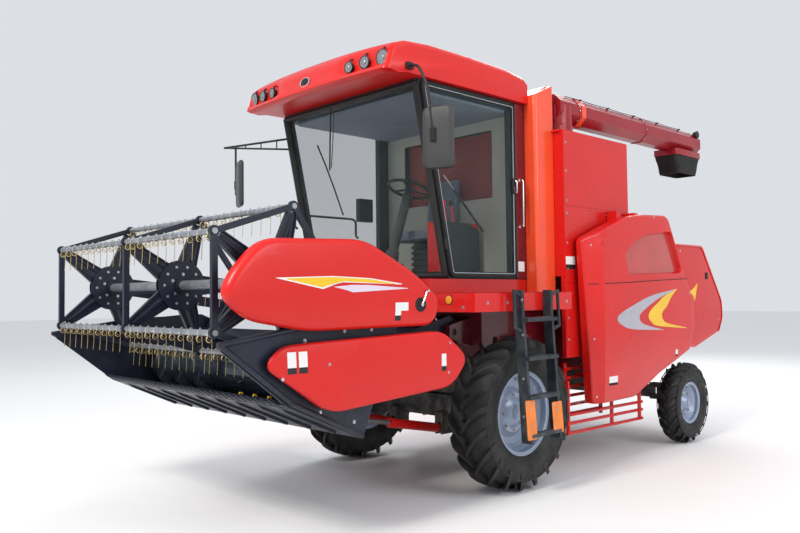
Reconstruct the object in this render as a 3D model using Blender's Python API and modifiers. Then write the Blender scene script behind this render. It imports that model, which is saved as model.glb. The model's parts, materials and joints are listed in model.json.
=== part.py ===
"""Wheeled grain combine harvester with its header raised.

Metres, +Z up, forward is -Y, +X is the machine's left. The origin is on the ground at the
middle of the machine's length and width. Heights are above the ground. Lengths along Y are
written from the front axle and moved to the origin at the end (FRONT_AXLE_Y).
"""

from math import cos, pi, radians, sin

import bmesh
import bpy
from mathutils import Matrix, Vector

for old in list(bpy.data.objects):
    bpy.data.objects.remove(old, do_unlink=True)

# ---------------------------------------------------------------- driving dimensions
FRONT_AXLE_Y = -0.705  # front axle from the middle of the machine's length
BODY_X = 0.220  # centre line of the wheels, body and tank; the cab and header stand on X = 0
GAP = 0.0003  # between two pieces that are fastened together

# front wheels
FRONT_TYRE_D = 1.275
FRONT_TYRE_W = 0.380
FRONT_RIM_R = 0.335
FRONT_TRACK = 1.960
FRONT_AXLE_Z = FRONT_TYRE_D / 2
# rear wheels
REAR_TYRE_D = 0.860
REAR_TYRE_W = 0.230
REAR_RIM_R = 0.212
REAR_TRACK = 2.120
WHEELBASE = 2.905
REAR_AXLE_Z = REAR_TYRE_D / 2
KINGPIN_X = 0.800  # kingpin from the body's centre line

# body
BODY_HALF = 0.600  # threshing body, half its width
FLOOR_Z = 1.760  # cab floor and platform, top
FLOOR_T = 0.270
WALKWAY_Z = 1.640  # walkway beside the cab, lower than the door's sweep
PLATFORM_FRONT = -0.700
PLATFORM_LEFT = 1.420
TANK_HALF = 0.940
TANK_FRONT = 0.880
TANK_REAR = 2.040
TANK_TOP = 3.170
TANK_BOTTOM = 1.790
TANK_WALL = 0.040
HOOD_OUT = 1.160  # side hoods, outer face from the body's centre line
HOOD_DEPTH = 0.180
HOOD_SHEET = 0.030
HOOD_HINGE_Z = 2.440
REAR_HOOD_HALF = 0.930

# cab
CAB_HALF = 0.920
CAB_REAR = 0.600
DOOR_REAR = 0.400
ROOF_UNDER = 3.390
ROOF_TOP = 3.700
ROOF_HALF = 0.980
ROOF_FRONT = -1.250
POST = 0.060  # cab post section
GLASS_T = 0.008

# unloading auger
UNLOAD_X = 0.955
UNLOAD_Y = 1.100
UNLOAD_Z = 3.400
UNLOAD_R = 0.150
UNLOAD_END = 3.920

# header, in its own axes from the feeder hinge, as when it is lowered
HINGE_Y = -0.150
HINGE_Z = 1.300
HEADER_RAISED = 24.0  # degrees
WALL_X = 1.280  # end walls, middle of the sheet
WALL_T = 0.012
PAN_Z = -1.220
KNIFE_Y = -1.831
BACK_Y = -1.190
AUGER_Y = -1.440
AUGER_Z = -0.935
AUGER_R = 0.215
AUGER_TUBE_R = 0.150
REEL_PIVOT_Y = -1.138
REEL_PIVOT_Z = -0.222
FEEDER_HALF = 0.420
LIFT_X = 0.300
LIFT_BASE_Y = -0.130
LIFT_BASE_Z = 0.440
LIFT_EYE_Y = -0.820
LIFT_EYE_Z = -1.050

# reel
REEL_Y = -2.390  # from the front axle
REEL_Z = 1.720
REEL_R = 0.521
REEL_HALF = 1.195
REEL_PLATE = 0.016
REEL_SHAFT_R = 0.027
REEL_HUB_R = 0.155
TINE_BAR_R = 0.0195
TINE_HOLE_R = 0.0205
TINE_BAR_HALF = 1.212
TINE_LENGTH = 0.170
TINES = 21
FIRST_BAR = 36.0  # degrees above straight ahead

# lift and tilt used by the header's own axes
TILT = radians(-HEADER_RAISED)

parts = bpy.data.collections.new("combine_harvester")
cutters = bpy.data.collections.new("cutters")
bpy.context.scene.collection.children.link(parts)
bpy.context.scene.collection.children.link(cutters)
cutters.hide_render = True

# ---------------------------------------------------------------- materials
MATERIALS = {
    "red": ((0.80, 0.022, 0.012), 0.30, 0.0),
    "navy": ((0.012, 0.016, 0.028), 0.45, 0.0),
    "black": ((0.010, 0.010, 0.011), 0.55, 0.0),
    "rim_grey": ((0.33, 0.40, 0.52), 0.40, 0.0),
    "tyre": ((0.018, 0.018, 0.018), 0.85, 0.0),
    "steel": ((0.45, 0.46, 0.48), 0.40, 0.9),
    "grey": ((0.20, 0.21, 0.22), 0.50, 0.2),
    "crimson": ((0.50, 0.016, 0.040), 0.35, 0.0),
    "maroon": ((0.16, 0.010, 0.014), 0.35, 0.0),
    "glass": ((0.55, 0.68, 0.66), 0.05, 0.0),
    "seat": ((0.06, 0.06, 0.07), 0.70, 0.0),
    "rubber": ((0.02, 0.02, 0.02), 0.80, 0.0),
    "cream": ((0.45, 0.46, 0.46), 0.60, 0.0),
}


def material(name):
    found = bpy.data.materials.get(name)
    if found:
        return found
    color, rough, metal = MATERIALS[name]
    made = bpy.data.materials.new(name)
    made.use_nodes = True
    shader = made.node_tree.nodes["Principled BSDF"]
    shader.inputs["Base Color"].default_value = (*color, 1.0)
    shader.inputs["Roughness"].default_value = rough
    shader.inputs["Metallic"].default_value = metal
    return made


# ---------------------------------------------------------------- shape helpers
def tidy(mesh, turn_outward=True, merge=0.00001):
    work = bmesh.new()
    work.from_mesh(mesh)
    bmesh.ops.remove_doubles(work, verts=work.verts, dist=merge)
    bmesh.ops.dissolve_degenerate(work, edges=work.edges, dist=0.000001)
    if turn_outward:
        bmesh.ops.recalc_face_normals(work, faces=work.faces)
    work.to_mesh(mesh)
    work.free()
    return mesh


def mesh_of(obj, turn_outward=True):
    """The object's evaluated shape as a mesh in world axes; the object is removed."""
    bpy.context.view_layer.update()
    graph = bpy.context.evaluated_depsgraph_get()
    evaluated = obj.evaluated_get(graph)
    mesh = bpy.data.meshes.new_from_object(evaluated, depsgraph=graph)
    mesh.transform(obj.matrix_world)
    bpy.data.objects.remove(obj, do_unlink=True)
    return tidy(mesh, turn_outward)


def loose(mesh):
    obj = bpy.data.objects.new("shape", mesh)
    bpy.context.scene.collection.objects.link(obj)
    return obj


TO_AXES = {
    "X": Matrix(((0, 0, 1, 0), (1, 0, 0, 0), (0, 1, 0, 0), (0, 0, 0, 1))),
    "Y": Matrix(((1, 0, 0, 0), (0, 0, -1, 0), (0, 1, 0, 0), (0, 0, 0, 1))),
    "Z": Matrix.Identity(4),
}


def slab(axis, points, low, high, holes=()):
    """A flat outline drawn square to an axis and thickened from low to high along it.

    Points are (Y, Z) for axis X, (X, Z) for axis Y and (X, Y) for axis Z.
    """
    curve = bpy.data.curves.new("outline", "CURVE")
    curve.dimensions = "2D"
    curve.fill_mode = "BOTH"
    curve.extrude = (high - low) / 2
    for ring in (points, *holes):
        spline = curve.splines.new("POLY")
        spline.points.add(len(ring) - 1)
        for point, (a, b) in zip(spline.points, ring):
            point.co = (a, b, 0, 1)
        spline.use_cyclic_u = True
    obj = bpy.data.objects.new("outline", curve)
    bpy.context.scene.collection.objects.link(obj)
    middle = (high + low) / 2
    turn = TO_AXES[axis]
    along = {"X": (1, 0, 0), "Y": (0, 1, 0), "Z": (0, 0, 1)}[axis]
    obj.matrix_world = Matrix.Translation(Vector(along) * middle) @ turn
    return mesh_of(obj)


def box(low, high):
    work = bmesh.new()
    size = [b - a for a, b in zip(low, high)]
    centre = [(a + b) / 2 for a, b in zip(low, high)]
    place = Matrix.Translation(centre) @ Matrix.Diagonal((*size, 1))
    bmesh.ops.create_cube(work, size=1, matrix=place)
    mesh = bpy.data.meshes.new("box")
    work.to_mesh(mesh)
    work.free()
    return mesh


def ring_points(centre, radius, count, start=0.0):
    return [
        (
            centre[0] + radius * cos(radians(start) + 2 * pi * i / count),
            centre[1] + radius * sin(radians(start) + 2 * pi * i / count),
        )
        for i in range(count)
    ]


def rod(start, end, radius, sides=12, roll=0.0):
    """A round bar between two points; roll turns its flats."""
    start = Vector(start)
    end = Vector(end)
    work = bmesh.new()
    bmesh.ops.create_cone(
        work,
        cap_ends=True,
        segments=sides,
        radius1=radius,
        radius2=radius,
        depth=(end - start).length,
    )
    turn = (end - start).to_track_quat("Z", "Y").to_matrix().to_4x4()
    turn = turn @ Matrix.Rotation(radians(roll), 4, "Z")
    mesh = bpy.data.meshes.new("rod")
    work.to_mesh(mesh)
    work.free()
    mesh.transform(Matrix.Translation((start + end) / 2) @ turn)
    return mesh


def bent(points, radius, sides=8):
    """A round tube along straight runs: bars that reach into each other at the corners."""
    runs = []
    last = len(points) - 2
    for i in range(last + 1):
        start = Vector(points[i])
        end = Vector(points[i + 1])
        way = (end - start).normalized() * radius * 0.7
        runs.append(rod(start - way * (i > 0), end + way * (i < last), radius, sides, 7 + 13 * i))
    return union(*runs)


def turned(profile, steps, centre):
    """A shape turned about an X line through centre; profile is (x, radius)."""
    mesh = bpy.data.meshes.new("profile")
    count = len(profile)
    closing = profile[0][1] > 0.0001 or profile[-1][1] > 0.0001
    edges = [(i, i + 1) for i in range(count - 1)]
    if closing:
        edges.append((count - 1, 0))
    mesh.from_pydata([(x, 0, r) for x, r in profile], edges, [])
    obj = loose(mesh)
    screw = obj.modifiers.new("turn", "SCREW")
    screw.axis = "X"
    screw.steps = steps
    screw.render_steps = steps
    screw.use_merge_vertices = True
    screw.merge_threshold = 0.0001
    obj.location = centre
    return mesh_of(obj)


def combine(first, others, operation="UNION"):
    """Boolean of one mesh with others, one after the other."""
    mesh = first
    for other in others:
        base = loose(mesh)
        tool = loose(other)
        cut = base.modifiers.new("cut", "BOOLEAN")
        cut.operation = operation
        cut.solver = "EXACT"
        cut.object = tool
        mesh = mesh_of(base, turn_outward=False)
        bpy.data.objects.remove(tool, do_unlink=True)
    return mesh


def union(*meshes):
    return combine(meshes[0], meshes[1:])


def less(mesh, *tools):
    return combine(mesh, tools, "DIFFERENCE")


def mirrored(mesh):
    copy = mesh.copy()
    copy.transform(Matrix.Diagonal((-1, 1, 1, 1)))
    return tidy(copy)


def node(name, mesh, colour, origin=(0, 0, 0)):
    origin = Vector(origin)
    mesh.transform(Matrix.Translation(-origin))
    mesh.name = name
    mesh.materials.clear()
    mesh.materials.append(material(colour))
    obj = bpy.data.objects.new(name, mesh)
    obj.location = origin
    parts.objects.link(obj)
    return obj


def header_point(y, z):
    """(Y, Z) from the front axle of a point in the header's own axes, header raised."""
    return (
        HINGE_Y + y * cos(TILT) - z * sin(TILT),
        HINGE_Z + y * sin(TILT) + z * cos(TILT),
    )


def header_outline(points):
    return [header_point(y, z) for y, z in points]


def header_tube(points, radius, sides=8):
    return bent([(x, *header_point(y, z)) for x, y, z in points], radius, sides)


def inset(points, by):
    """The outline moved inward by a distance, side by side."""
    area = sum(a[0] * b[1] - b[0] * a[1] for a, b in zip(points, points[1:] + points[:1]))
    sign = 1 if area > 0 else -1
    lines = []
    for a, b in zip(points, points[1:] + points[:1]):
        way = Vector((b[0] - a[0], b[1] - a[1])).normalized()
        normal = Vector((-way.y, way.x)) * sign
        lines.append((Vector(a) + normal * by, way))
    found = []
    for (p0, d0), (p1, d1) in zip(lines[-1:] + lines[:-1], lines):
        cross = d0.x * d1.y - d0.y * d1.x
        t = ((p1.x - p0.x) * d1.y - (p1.y - p0.y) * d1.x) / cross
        found.append((p0.x + d0.x * t, p0.y + d0.y * t))
    return found


# ---------------------------------------------------------------- wheels
def tyre_profile(width, outer, bead):
    half = width / 2
    return [
        (-half * 0.62, bead),
        (-half * 0.86, bead + 0.02),
        (-half, bead + (outer - bead) * 0.45),
        (-half * 0.98, outer - 0.060),
        (-half * 0.88, outer - 0.015),
        (-half * 0.45, outer),
        (half * 0.45, outer),
        (half * 0.88, outer - 0.015),
        (half * 0.98, outer - 0.060),
        (half, bead + (outer - bead) * 0.45),
        (half * 0.86, bead + 0.02),
        (half * 0.62, bead),
    ]


def rim_profile(width, bead, dish, hub):
    """Rim with its wheel disc; dish is the disc's place, + outward; side 1 is outward."""
    half = width / 2
    seat = bead - GAP * 2
    return [
        (-half * 0.70, seat - 0.012),
        (-half * 0.60, seat),
        (half * 0.60, seat),
        (half * 0.70, seat - 0.012),
        (half * 0.58, seat - 0.022),
        (half * 0.20, seat - 0.055),
        (dish + 0.020, seat - 0.060),
        (dish + 0.020, hub + 0.030),
        (dish + 0.050, hub),
        (dish + 0.050, 0.0),
        (dish - 0.010, 0.0),
        (dish - 0.010, seat - 0.075),
        (-half * 0.20, seat - 0.075),
        (-half * 0.58, seat - 0.030),
    ]


def wheel(side, which):
    sign = 1 if side == "left" else -1
    if which == "front":
        centre = (sign * FRONT_TRACK / 2, 0, FRONT_AXLE_Z)
        width, outer, bead, steps = FRONT_TYRE_W, FRONT_TYRE_D / 2, FRONT_RIM_R, 28
        dish, hub = FRONT_DISH, 0.130
    else:
        centre = (sign * REAR_TRACK / 2, WHEELBASE, REAR_AXLE_Z)
        width, outer, bead, steps = REAR_TYRE_W, REAR_TYRE_D / 2, REAR_RIM_R, 20
        dish, hub = REAR_DISH, 0.080
    rubber = turned(tyre_profile(width, outer, bead), steps, centre)
    profile = [(sign * x, r) for x, r in rim_profile(width, bead, dish, hub)]
    metal = turned(profile, steps, centre)
    node(f"{which}_tyre_{side}", rubber, "tyre", centre)
    node(f"{which}_rim_{side}", metal, "rim_grey", centre)


FRONT_DISH = 0.020
REAR_DISH = 0.015
for which in ("front", "rear"):
    for side in ("left", "right"):
        wheel(side, which)

# ---------------------------------------------------------------- axles and steering
front_hub_face = FRONT_TRACK / 2 + FRONT_DISH - 0.010 - GAP
front_axle = union(
    box((-0.68, -0.110, FRONT_AXLE_Z - 0.100), (0.68, 0.110, FRONT_AXLE_Z + 0.100)),
    slab("X", ring_points((0, FRONT_AXLE_Z), 0.185, 12, 15), 0.640, 0.780),
    slab("X", ring_points((0, FRONT_AXLE_Z), 0.185, 12, 15), -0.780, -0.640),
    rod((-front_hub_face, 0, FRONT_AXLE_Z), (front_hub_face, 0, FRONT_AXLE_Z), 0.085, 12),
    *[
        box((x - 0.045, LIFT_BASE_Y - 0.045, LIFT_BASE_Z - 0.045), (x + 0.045, 0.0, FRONT_AXLE_Z - 0.05))
        for x in (-LIFT_X, LIFT_X)
    ],
)
# slots that leave room for the lift cylinders' lower ends, with their pins left in
LUG_HALF = 0.022
front_axle = less(
    front_axle,
    *[
        box((x - LUG_HALF, -0.25, LIFT_BASE_Z - 0.10), (x + LUG_HALF, LIFT_BASE_Y + 0.055, LIFT_BASE_Z + 0.055))
        for x in (-LIFT_X, LIFT_X)
    ],
)
front_axle = union(
    front_axle,
    *[
        rod((x - 0.040, LIFT_BASE_Y, LIFT_BASE_Z), (x + 0.040, LIFT_BASE_Y, LIFT_BASE_Z), 0.014, 8)
        for x in (-LIFT_X, LIFT_X)
    ],
)
node("front_axle", front_axle, "black")

RAIL_LOW = FRONT_AXLE_Z + 0.100 + GAP
RAIL_HIGH = RAIL_LOW + 0.140
RAIL_X = 0.540
REAR_BEAM_Z = REAR_AXLE_Z + 0.100
frame = union(
    box((RAIL_X - 0.040, -0.120, RAIL_LOW), (RAIL_X + 0.040, 3.300, RAIL_HIGH)),
    box((-RAIL_X - 0.040, -0.120, RAIL_LOW), (-RAIL_X + 0.040, 3.300, RAIL_HIGH)),
    *[
        box((-RAIL_X - 0.02, y - 0.050, RAIL_LOW + 0.020), (RAIL_X + 0.02, y + 0.050, RAIL_HIGH - 0.020))
        for y in (-0.060, 1.000, 2.000, WHEELBASE, 3.240)
    ],
    box((-0.100, WHEELBASE - 0.085, REAR_BEAM_Z + 0.085 + GAP), (0.100, WHEELBASE + 0.085, RAIL_LOW + 0.04)),
)
node("chassis_frame", frame, "navy")

rear_beam = union(
    box((-KINGPIN_X + 0.090, WHEELBASE - 0.060, REAR_BEAM_Z - 0.060),
        (KINGPIN_X - 0.090, WHEELBASE + 0.060, REAR_BEAM_Z + 0.060)),
    rod((0, WHEELBASE - 0.105, REAR_BEAM_Z), (0, WHEELBASE + 0.105, REAR_BEAM_Z), 0.085, 12),
    *[
        slab("Z", [(s * (KINGPIN_X + out), WHEELBASE + back) for out, back in
                   ((-0.11, -0.05), (0.01, -0.04), (0.035, -0.02), (0.035, 0.02), (0.01, 0.04), (-0.11, 0.05))],
             REAR_BEAM_Z + a, REAR_BEAM_Z + b)
        for s in (-1, 1)
        for a, b in ((-0.090, -0.040), (0.040, 0.090))
    ],
)
node("rear_axle_beam", rear_beam, "black")

KNUCKLE_LOW = REAR_BEAM_Z - 0.040 + GAP
KNUCKLE_HIGH = REAR_BEAM_Z + 0.040 - GAP
rear_hub_face = REAR_TRACK / 2 + REAR_DISH - 0.010 - GAP
ARM_Y = WHEELBASE + 0.200
TIE_X = KINGPIN_X - 0.050
TIE_Z = REAR_AXLE_Z - 0.020
for side, sign in (("left", 1), ("right", -1)):
    pin = (sign * KINGPIN_X, WHEELBASE, REAR_BEAM_Z)
    knuckle = union(
        rod((pin[0], WHEELBASE, KNUCKLE_LOW), (pin[0], WHEELBASE, KNUCKLE_HIGH), 0.045, 12),
        slab("Y", [(pin[0], REAR_BEAM_Z + 0.030), (pin[0] + sign * 0.110, REAR_BEAM_Z + 0.030),
                   (pin[0] + sign * 0.110, REAR_AXLE_Z - 0.050), (pin[0] + sign * 0.065, REAR_AXLE_Z - 0.050),
                   (pin[0] + sign * 0.065, REAR_BEAM_Z - 0.030), (pin[0], REAR_BEAM_Z - 0.030)],
             WHEELBASE - 0.040, WHEELBASE + 0.040),
        rod((pin[0] + sign * 0.070, WHEELBASE, REAR_AXLE_Z), (sign * rear_hub_face, WHEELBASE, REAR_AXLE_Z), 0.045, 12),
        slab("Z", [(pin[0] + sign * 0.110, WHEELBASE - 0.02), (pin[0] + sign * 0.110, WHEELBASE + 0.04),
                   (pin[0] + sign * 0.010, ARM_Y + 0.025), (sign * (TIE_X - 0.025), ARM_Y + 0.025),
                   (sign * (TIE_X - 0.025), ARM_Y - 0.020), (pin[0] + sign * 0.050, WHEELBASE)],
             TIE_Z - 0.012, TIE_Z + 0.012),
    )
    node(f"steering_knuckle_{side}", knuckle, "black", pin)

tie_low = TIE_Z + 0.012 + GAP
tie = union(
    rod((-TIE_X + 0.01, ARM_Y, tie_low + 0.018), (TIE_X - 0.01, ARM_Y, tie_low + 0.018), 0.0175, 10),
    rod((TIE_X, ARM_Y, tie_low), (TIE_X, ARM_Y, tie_low + 0.040), 0.024, 12),
    rod((-TIE_X, ARM_Y, tie_low), (-TIE_X, ARM_Y, tie_low + 0.040), 0.024, 12),
)
node("tie_rod", tie, "steel", (TIE_X, ARM_Y, TIE_Z))

# ---------------------------------------------------------------- threshing body, engine
FRAME_TOP = RAIL_HIGH + GAP
body_side = [
    (0.080, FRAME_TOP), (0.080, 1.480), (0.900, 1.480), (0.900, TANK_BOTTOM - 0.080), (2.080, TANK_BOTTOM - 0.080),
    (2.080, 1.850), (3.600, 1.850), (3.600, 1.300), (3.250, FRAME_TOP),
]
body = union(
    slab("X", body_side, -BODY_HALF, BODY_HALF),
    *[rod((-0.72, y, z), (0.72, y, z), r, 16) for y, z, r in ((0.55, 1.10, 0.16), (1.45, 1.35, 0.22), (2.70, 1.45, 0.14))],
)
# the two plates on its front that hold the feeder house's pivots
for sign in (-1, 1):
    low, high = sorted((sign * (FEEDER_HALF + 0.006), sign * (FEEDER_HALF + 0.060)))
    plate = slab("X", [(0.150, 1.150), (0.150, 1.440), (-0.210, 1.360), (-0.210, 1.240)], low, high)
    plate = less(plate, rod((low - 0.1, HINGE_Y, HINGE_Z), (high + 0.1, HINGE_Y, HINGE_Z), 0.0309, 16))
    body = union(body, plate)
node("threshing_body", body, "red")

engine = box((-0.520, 2.200, 1.850 + GAP), (0.420, 3.050, 2.450))
node("engine_block", engine, "grey")
radiator = box((-0.900, 2.200, 1.900), (-0.520 - GAP, 3.050, 2.420))
node("radiator_screen", radiator, "black")

# ---------------------------------------------------------------- grain tank
tank = slab(
    "X",
    [(TANK_FRONT, TANK_BOTTOM), (TANK_REAR, TANK_BOTTOM), (TANK_REAR, TANK_TOP), (TANK_FRONT, TANK_TOP)],
    -TANK_HALF,
    TANK_HALF,
)
tank = less(
    tank,
    slab(
        "Y",
        [(-0.450, TANK_BOTTOM + TANK_WALL), (0.450, TANK_BOTTOM + TANK_WALL), (TANK_HALF - TANK_WALL, 2.450),
         (TANK_HALF - TANK_WALL, TANK_TOP + 0.1), (-TANK_HALF + TANK_WALL, TANK_TOP + 0.1), (-TANK_HALF + TANK_WALL, 2.450)],
        TANK_FRONT + TANK_WALL,
        TANK_REAR - TANK_WALL,
    ),
)
# skirts below the tank down to the side hoods
skirt_l = slab("X", [(TANK_FRONT, 1.030), (1.300, 1.030), (1.300, TANK_BOTTOM + 0.02), (TANK_FRONT, TANK_BOTTOM + 0.02)],
               TANK_HALF - 0.040, TANK_HALF)
# feet that carry the tank on the body's sides
foot = box((-0.55, 0.95, TANK_BOTTOM - 0.080 + GAP), (0.55, 1.95, TANK_BOTTOM + 0.01))
tank = union(tank, skirt_l, mirrored(skirt_l), foot)
node("grain_tank", tank, "red")

PANEL_LEFT = 1.060
PANEL_RIGHT = -0.750
panel = union(
    box((PANEL_RIGHT + 0.010, CAB_REAR + GAP, FLOOR_Z + GAP), (PANEL_LEFT - 0.050, TANK_FRONT - GAP, 3.600)),
    box((PANEL_LEFT - 0.110, CAB_REAR + GAP, 1.500), (PANEL_LEFT, TANK_FRONT - GAP, 3.600)),
    box((PANEL_RIGHT, CAB_REAR + GAP, 1.500), (PANEL_RIGHT + 0.110, TANK_FRONT - GAP, 3.600)),
)
node("tank_front_panel", panel, "red")

# ---------------------------------------------------------------- side and rear hoods
hood_side = [
    (1.000, 2.135), (1.680, 2.380), (2.010, 2.420), (2.460, 2.440), (2.530, 2.400), (2.840, 1.850), (3.060, 1.550),
    (3.070, 1.250), (2.960, 1.000), (2.300, 0.800), (1.800, 0.600), (1.100, 0.590),
]


HOOD_IN = HOOD_OUT - HOOD_DEPTH
for side, sign in (("left", 1), ("right", -1)):
    low, high = sorted((sign * HOOD_IN, sign * HOOD_OUT))
    shell = slab("X", hood_side, low, high)
    low, high = sorted((sign * (HOOD_IN - 0.1), sign * (HOOD_OUT - HOOD_SHEET)))
    shell = less(shell, slab("X", inset(hood_side, HOOD_SHEET), low, high))
    hinge_x = TANK_HALF + 0.0137
    for y in (1.650, 1.980):
        low, high = sorted((sign * (TANK_HALF + 0.008), sign * (HOOD_IN + 0.015)))
        tab = box((low, y - 0.040, 2.360), (high, y + 0.040, HOOD_HINGE_Z + 0.008))
        pin = rod((sign * hinge_x, y - 0.050, HOOD_HINGE_Z), (sign * hinge_x, y + 0.050, HOOD_HINGE_Z), 0.0132, 12)
        shell = union(shell, tab, pin)
    node(f"side_hood_{side}", shell, "red", (sign * hinge_x, 1.815, HOOD_HINGE_Z))

rear_side = [(3.100, 2.180), (3.780, 2.180), (4.270, 1.530), (4.280, 1.340), (4.150, 1.140), (3.520, 0.980), (3.150, 1.050)]
rear_shell = less(
    slab("X", rear_side, -REAR_HOOD_HALF, REAR_HOOD_HALF),
    slab("X", [(3.0, 2.140), (3.700, 2.140), (4.190, 1.520), (4.190, 1.340), (4.100, 0.8), (3.0, 0.8)],
         -REAR_HOOD_HALF + 0.04, REAR_HOOD_HALF - 0.04),
)
rear_ribs = []
for sign in (-1, 1):
    low, high = sorted((sign * (BODY_HALF + GAP), sign * (REAR_HOOD_HALF - 0.02)))
    rear_ribs.append(box((low, 3.200, 1.400), (high, 3.240, 1.800)))
node("rear_hood", union(rear_shell, *rear_ribs), "red")

GUARD_X = 0.930
GUARD_POSTS = (0.905, 1.660, 2.200)
for side, sign in (("left", 1), ("right", -1)):
    rails = [
        rod((sign * GUARD_X, 0.880, z0), (sign * GUARD_X, 2.250, z1), 0.016, 8)
        for z0, z1 in ((0.330, 0.320), (0.420, 0.410), (0.500, 0.490))
    ]
    posts = [rod((sign * GUARD_X, y, 0.320), (sign * GUARD_X, y, 0.812), 0.020, 8) for y in GUARD_POSTS]
    arms = [rod((sign * (RAIL_X + 0.040 + GAP), y, 0.800), (sign * (GUARD_X + 0.003), y, 0.800), 0.018, 8) for y in GUARD_POSTS]
    node(f"lower_guard_{side}", union(*rails, *posts, *arms), "red")

grille_x = 0.840
GRILLE_LOW = 0.440
slats = [box((grille_x, 0.960, GRILLE_LOW + 0.040 + 0.085 * i), (grille_x + 0.030, 1.590, GRILLE_LOW + 0.065 + 0.085 * i)) for i in range(6)]
grille = union(
    box((grille_x + 0.005, 0.950, GRILLE_LOW), (grille_x + 0.025, 0.990, GRILLE_LOW + 0.530)),
    box((grille_x + 0.005, 1.560, GRILLE_LOW), (grille_x + 0.025, 1.600, GRILLE_LOW + 0.530)),
    *slats,
    *[box((RAIL_X + 0.040 + GAP, y, 0.795), (grille_x + 0.010, y + 0.030, 0.825)) for y in (0.955, 1.565)],
)
node("slat_grille", grille, "red")

# ---------------------------------------------------------------- platform and ladder
platform = union(
    box((-CAB_HALF - 0.010, PLATFORM_FRONT + 0.002, FLOOR_Z - FLOOR_T), (CAB_HALF + 0.010, CAB_REAR, FLOOR_Z)),
    box((-CAB_HALF - 0.015, PLATFORM_FRONT, FLOOR_Z - FLOOR_T + 0.001), (PLATFORM_LEFT, CAB_REAR - 0.002, WALKWAY_Z)),
    box((BODY_X - BODY_HALF, 0.10, 1.480 + GAP), (BODY_X + BODY_HALF, 0.60, 1.55)),
)
node("platform", platform, "red")

LADDER_X = PLATFORM_LEFT + GAP
LADDER_Y = (-0.220, 0.200)
rails = [
    slab("Y", [(LADDER_X, WALKWAY_Z + 0.02), (LADDER_X, 1.500), (1.475, 0.440), (1.575, 0.440), (1.500, 1.500), (1.500, WALKWAY_Z + 0.02)],
         y, y + 0.030)
    for y in (LADDER_Y[0], LADDER_Y[1] - 0.030)
]
steps = [
    box((1.440 + 0.022 * i, LADDER_Y[0] + 0.01, z - 0.015), (1.550 + 0.008 * i, LADDER_Y[1] - 0.01, z + 0.015))
    for i, z in enumerate((1.420, 1.110, 0.800, 0.500))
]
loops = [
    bent([(1.480, y, WALKWAY_Z - 0.030), (1.480, y + out, WALKWAY_Z + 0.010), (1.490, y + out, 1.360), (1.490, y, 1.330)], 0.014, 8)
    for y, out in ((LADDER_Y[0] + 0.012, -0.09), (LADDER_Y[1] - 0.012, 0.11))
]
node("ladder", union(*rails, *steps, *loops), "grey")

# ---------------------------------------------------------------- cab
A_TOP = (-0.790, ROOF_UNDER)
A_BOTTOM = (-0.450, FLOOR_Z)


def on_a_pillar(z):
    part = (z - A_BOTTOM[1]) / (A_TOP[1] - A_BOTTOM[1])
    return A_BOTTOM[0] + part * (A_TOP[0] - A_BOTTOM[0])


CAB_LOW = FLOOR_Z + GAP
CAB_HIGH = ROOF_UNDER - GAP
side_outline = [(on_a_pillar(CAB_LOW), CAB_LOW), (CAB_REAR, CAB_LOW), (CAB_REAR, CAB_HIGH), (on_a_pillar(CAB_HIGH), CAB_HIGH)]
low_z = CAB_LOW + POST
high_z = CAB_HIGH - POST
door_hole = [(on_a_pillar(low_z) + POST, low_z), (DOOR_REAR, low_z), (DOOR_REAR, high_z), (on_a_pillar(high_z) + POST, high_z)]
shell = slab("X", side_outline, -CAB_HALF, CAB_HALF)
inner = slab(
    "X",
    [(on_a_pillar(low_z) + 0.05, low_z), (CAB_REAR - POST, low_z), (CAB_REAR - POST, high_z), (on_a_pillar(high_z) + 0.05, high_z)],
    -CAB_HALF + POST,
    CAB_HALF - POST,
)
cab = less(
    shell,
    slab("X", door_hole, -CAB_HALF - 0.1, CAB_HALF + 0.1),
    inner,
    slab("X", [(-1.2, low_z), (0.0, low_z), (0.0, high_z), (-1.2, high_z)], -CAB_HALF + POST, CAB_HALF - POST),
    box((-0.60, 0.3, 2.55), (0.60, 0.8, 3.20)),
)
node("cab_frame", cab, "black")

window_x = -CAB_HALF + 0.030
node("right_window", slab("X", inset(door_hole, GAP), window_x, window_x + GLASS_T), "glass")

screen = [(on_a_pillar(low_z + GAP), low_z + GAP), (on_a_pillar(high_z - GAP), high_z - GAP)]
screen += [(on_a_pillar(high_z - GAP) + 0.010, high_z - GAP), (on_a_pillar(low_z + GAP) + 0.010, low_z + GAP)]
node("windshield", slab("X", [(y + 0.006, z) for y, z in screen], -CAB_HALF + POST + GAP, CAB_HALF - POST - GAP), "glass")
rear_pane = box((-0.60 + GAP, 0.565, 2.55 + GAP), (0.60 - GAP, 0.565 + GLASS_T, 3.20 - GAP))
node("rear_window", rear_pane, "glass")

# left door: a frame standing on the cab's side, its glass inside the frame
DOOR_OUT = CAB_HALF + 0.026
DOOR_IN = CAB_HALF + 0.0055
door_outer = [(on_a_pillar(CAB_LOW + 0.012) + 0.012, CAB_LOW + 0.012), (DOOR_REAR + 0.050, CAB_LOW + 0.012),
              (DOOR_REAR + 0.050, CAB_HIGH - 0.012), (on_a_pillar(CAB_HIGH - 0.012) + 0.012, CAB_HIGH - 0.012)]
door_inner = inset(door_outer, 0.055)
door = slab("X", door_outer, DOOR_IN, DOOR_OUT, holes=(door_inner,))
HINGE_X = CAB_HALF + 0.0142


def door_hinge(z):
    """A point on the door's hinge line, which leans with the front post."""
    return Vector((HINGE_X, on_a_pillar(z) + 0.012, z))


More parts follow.
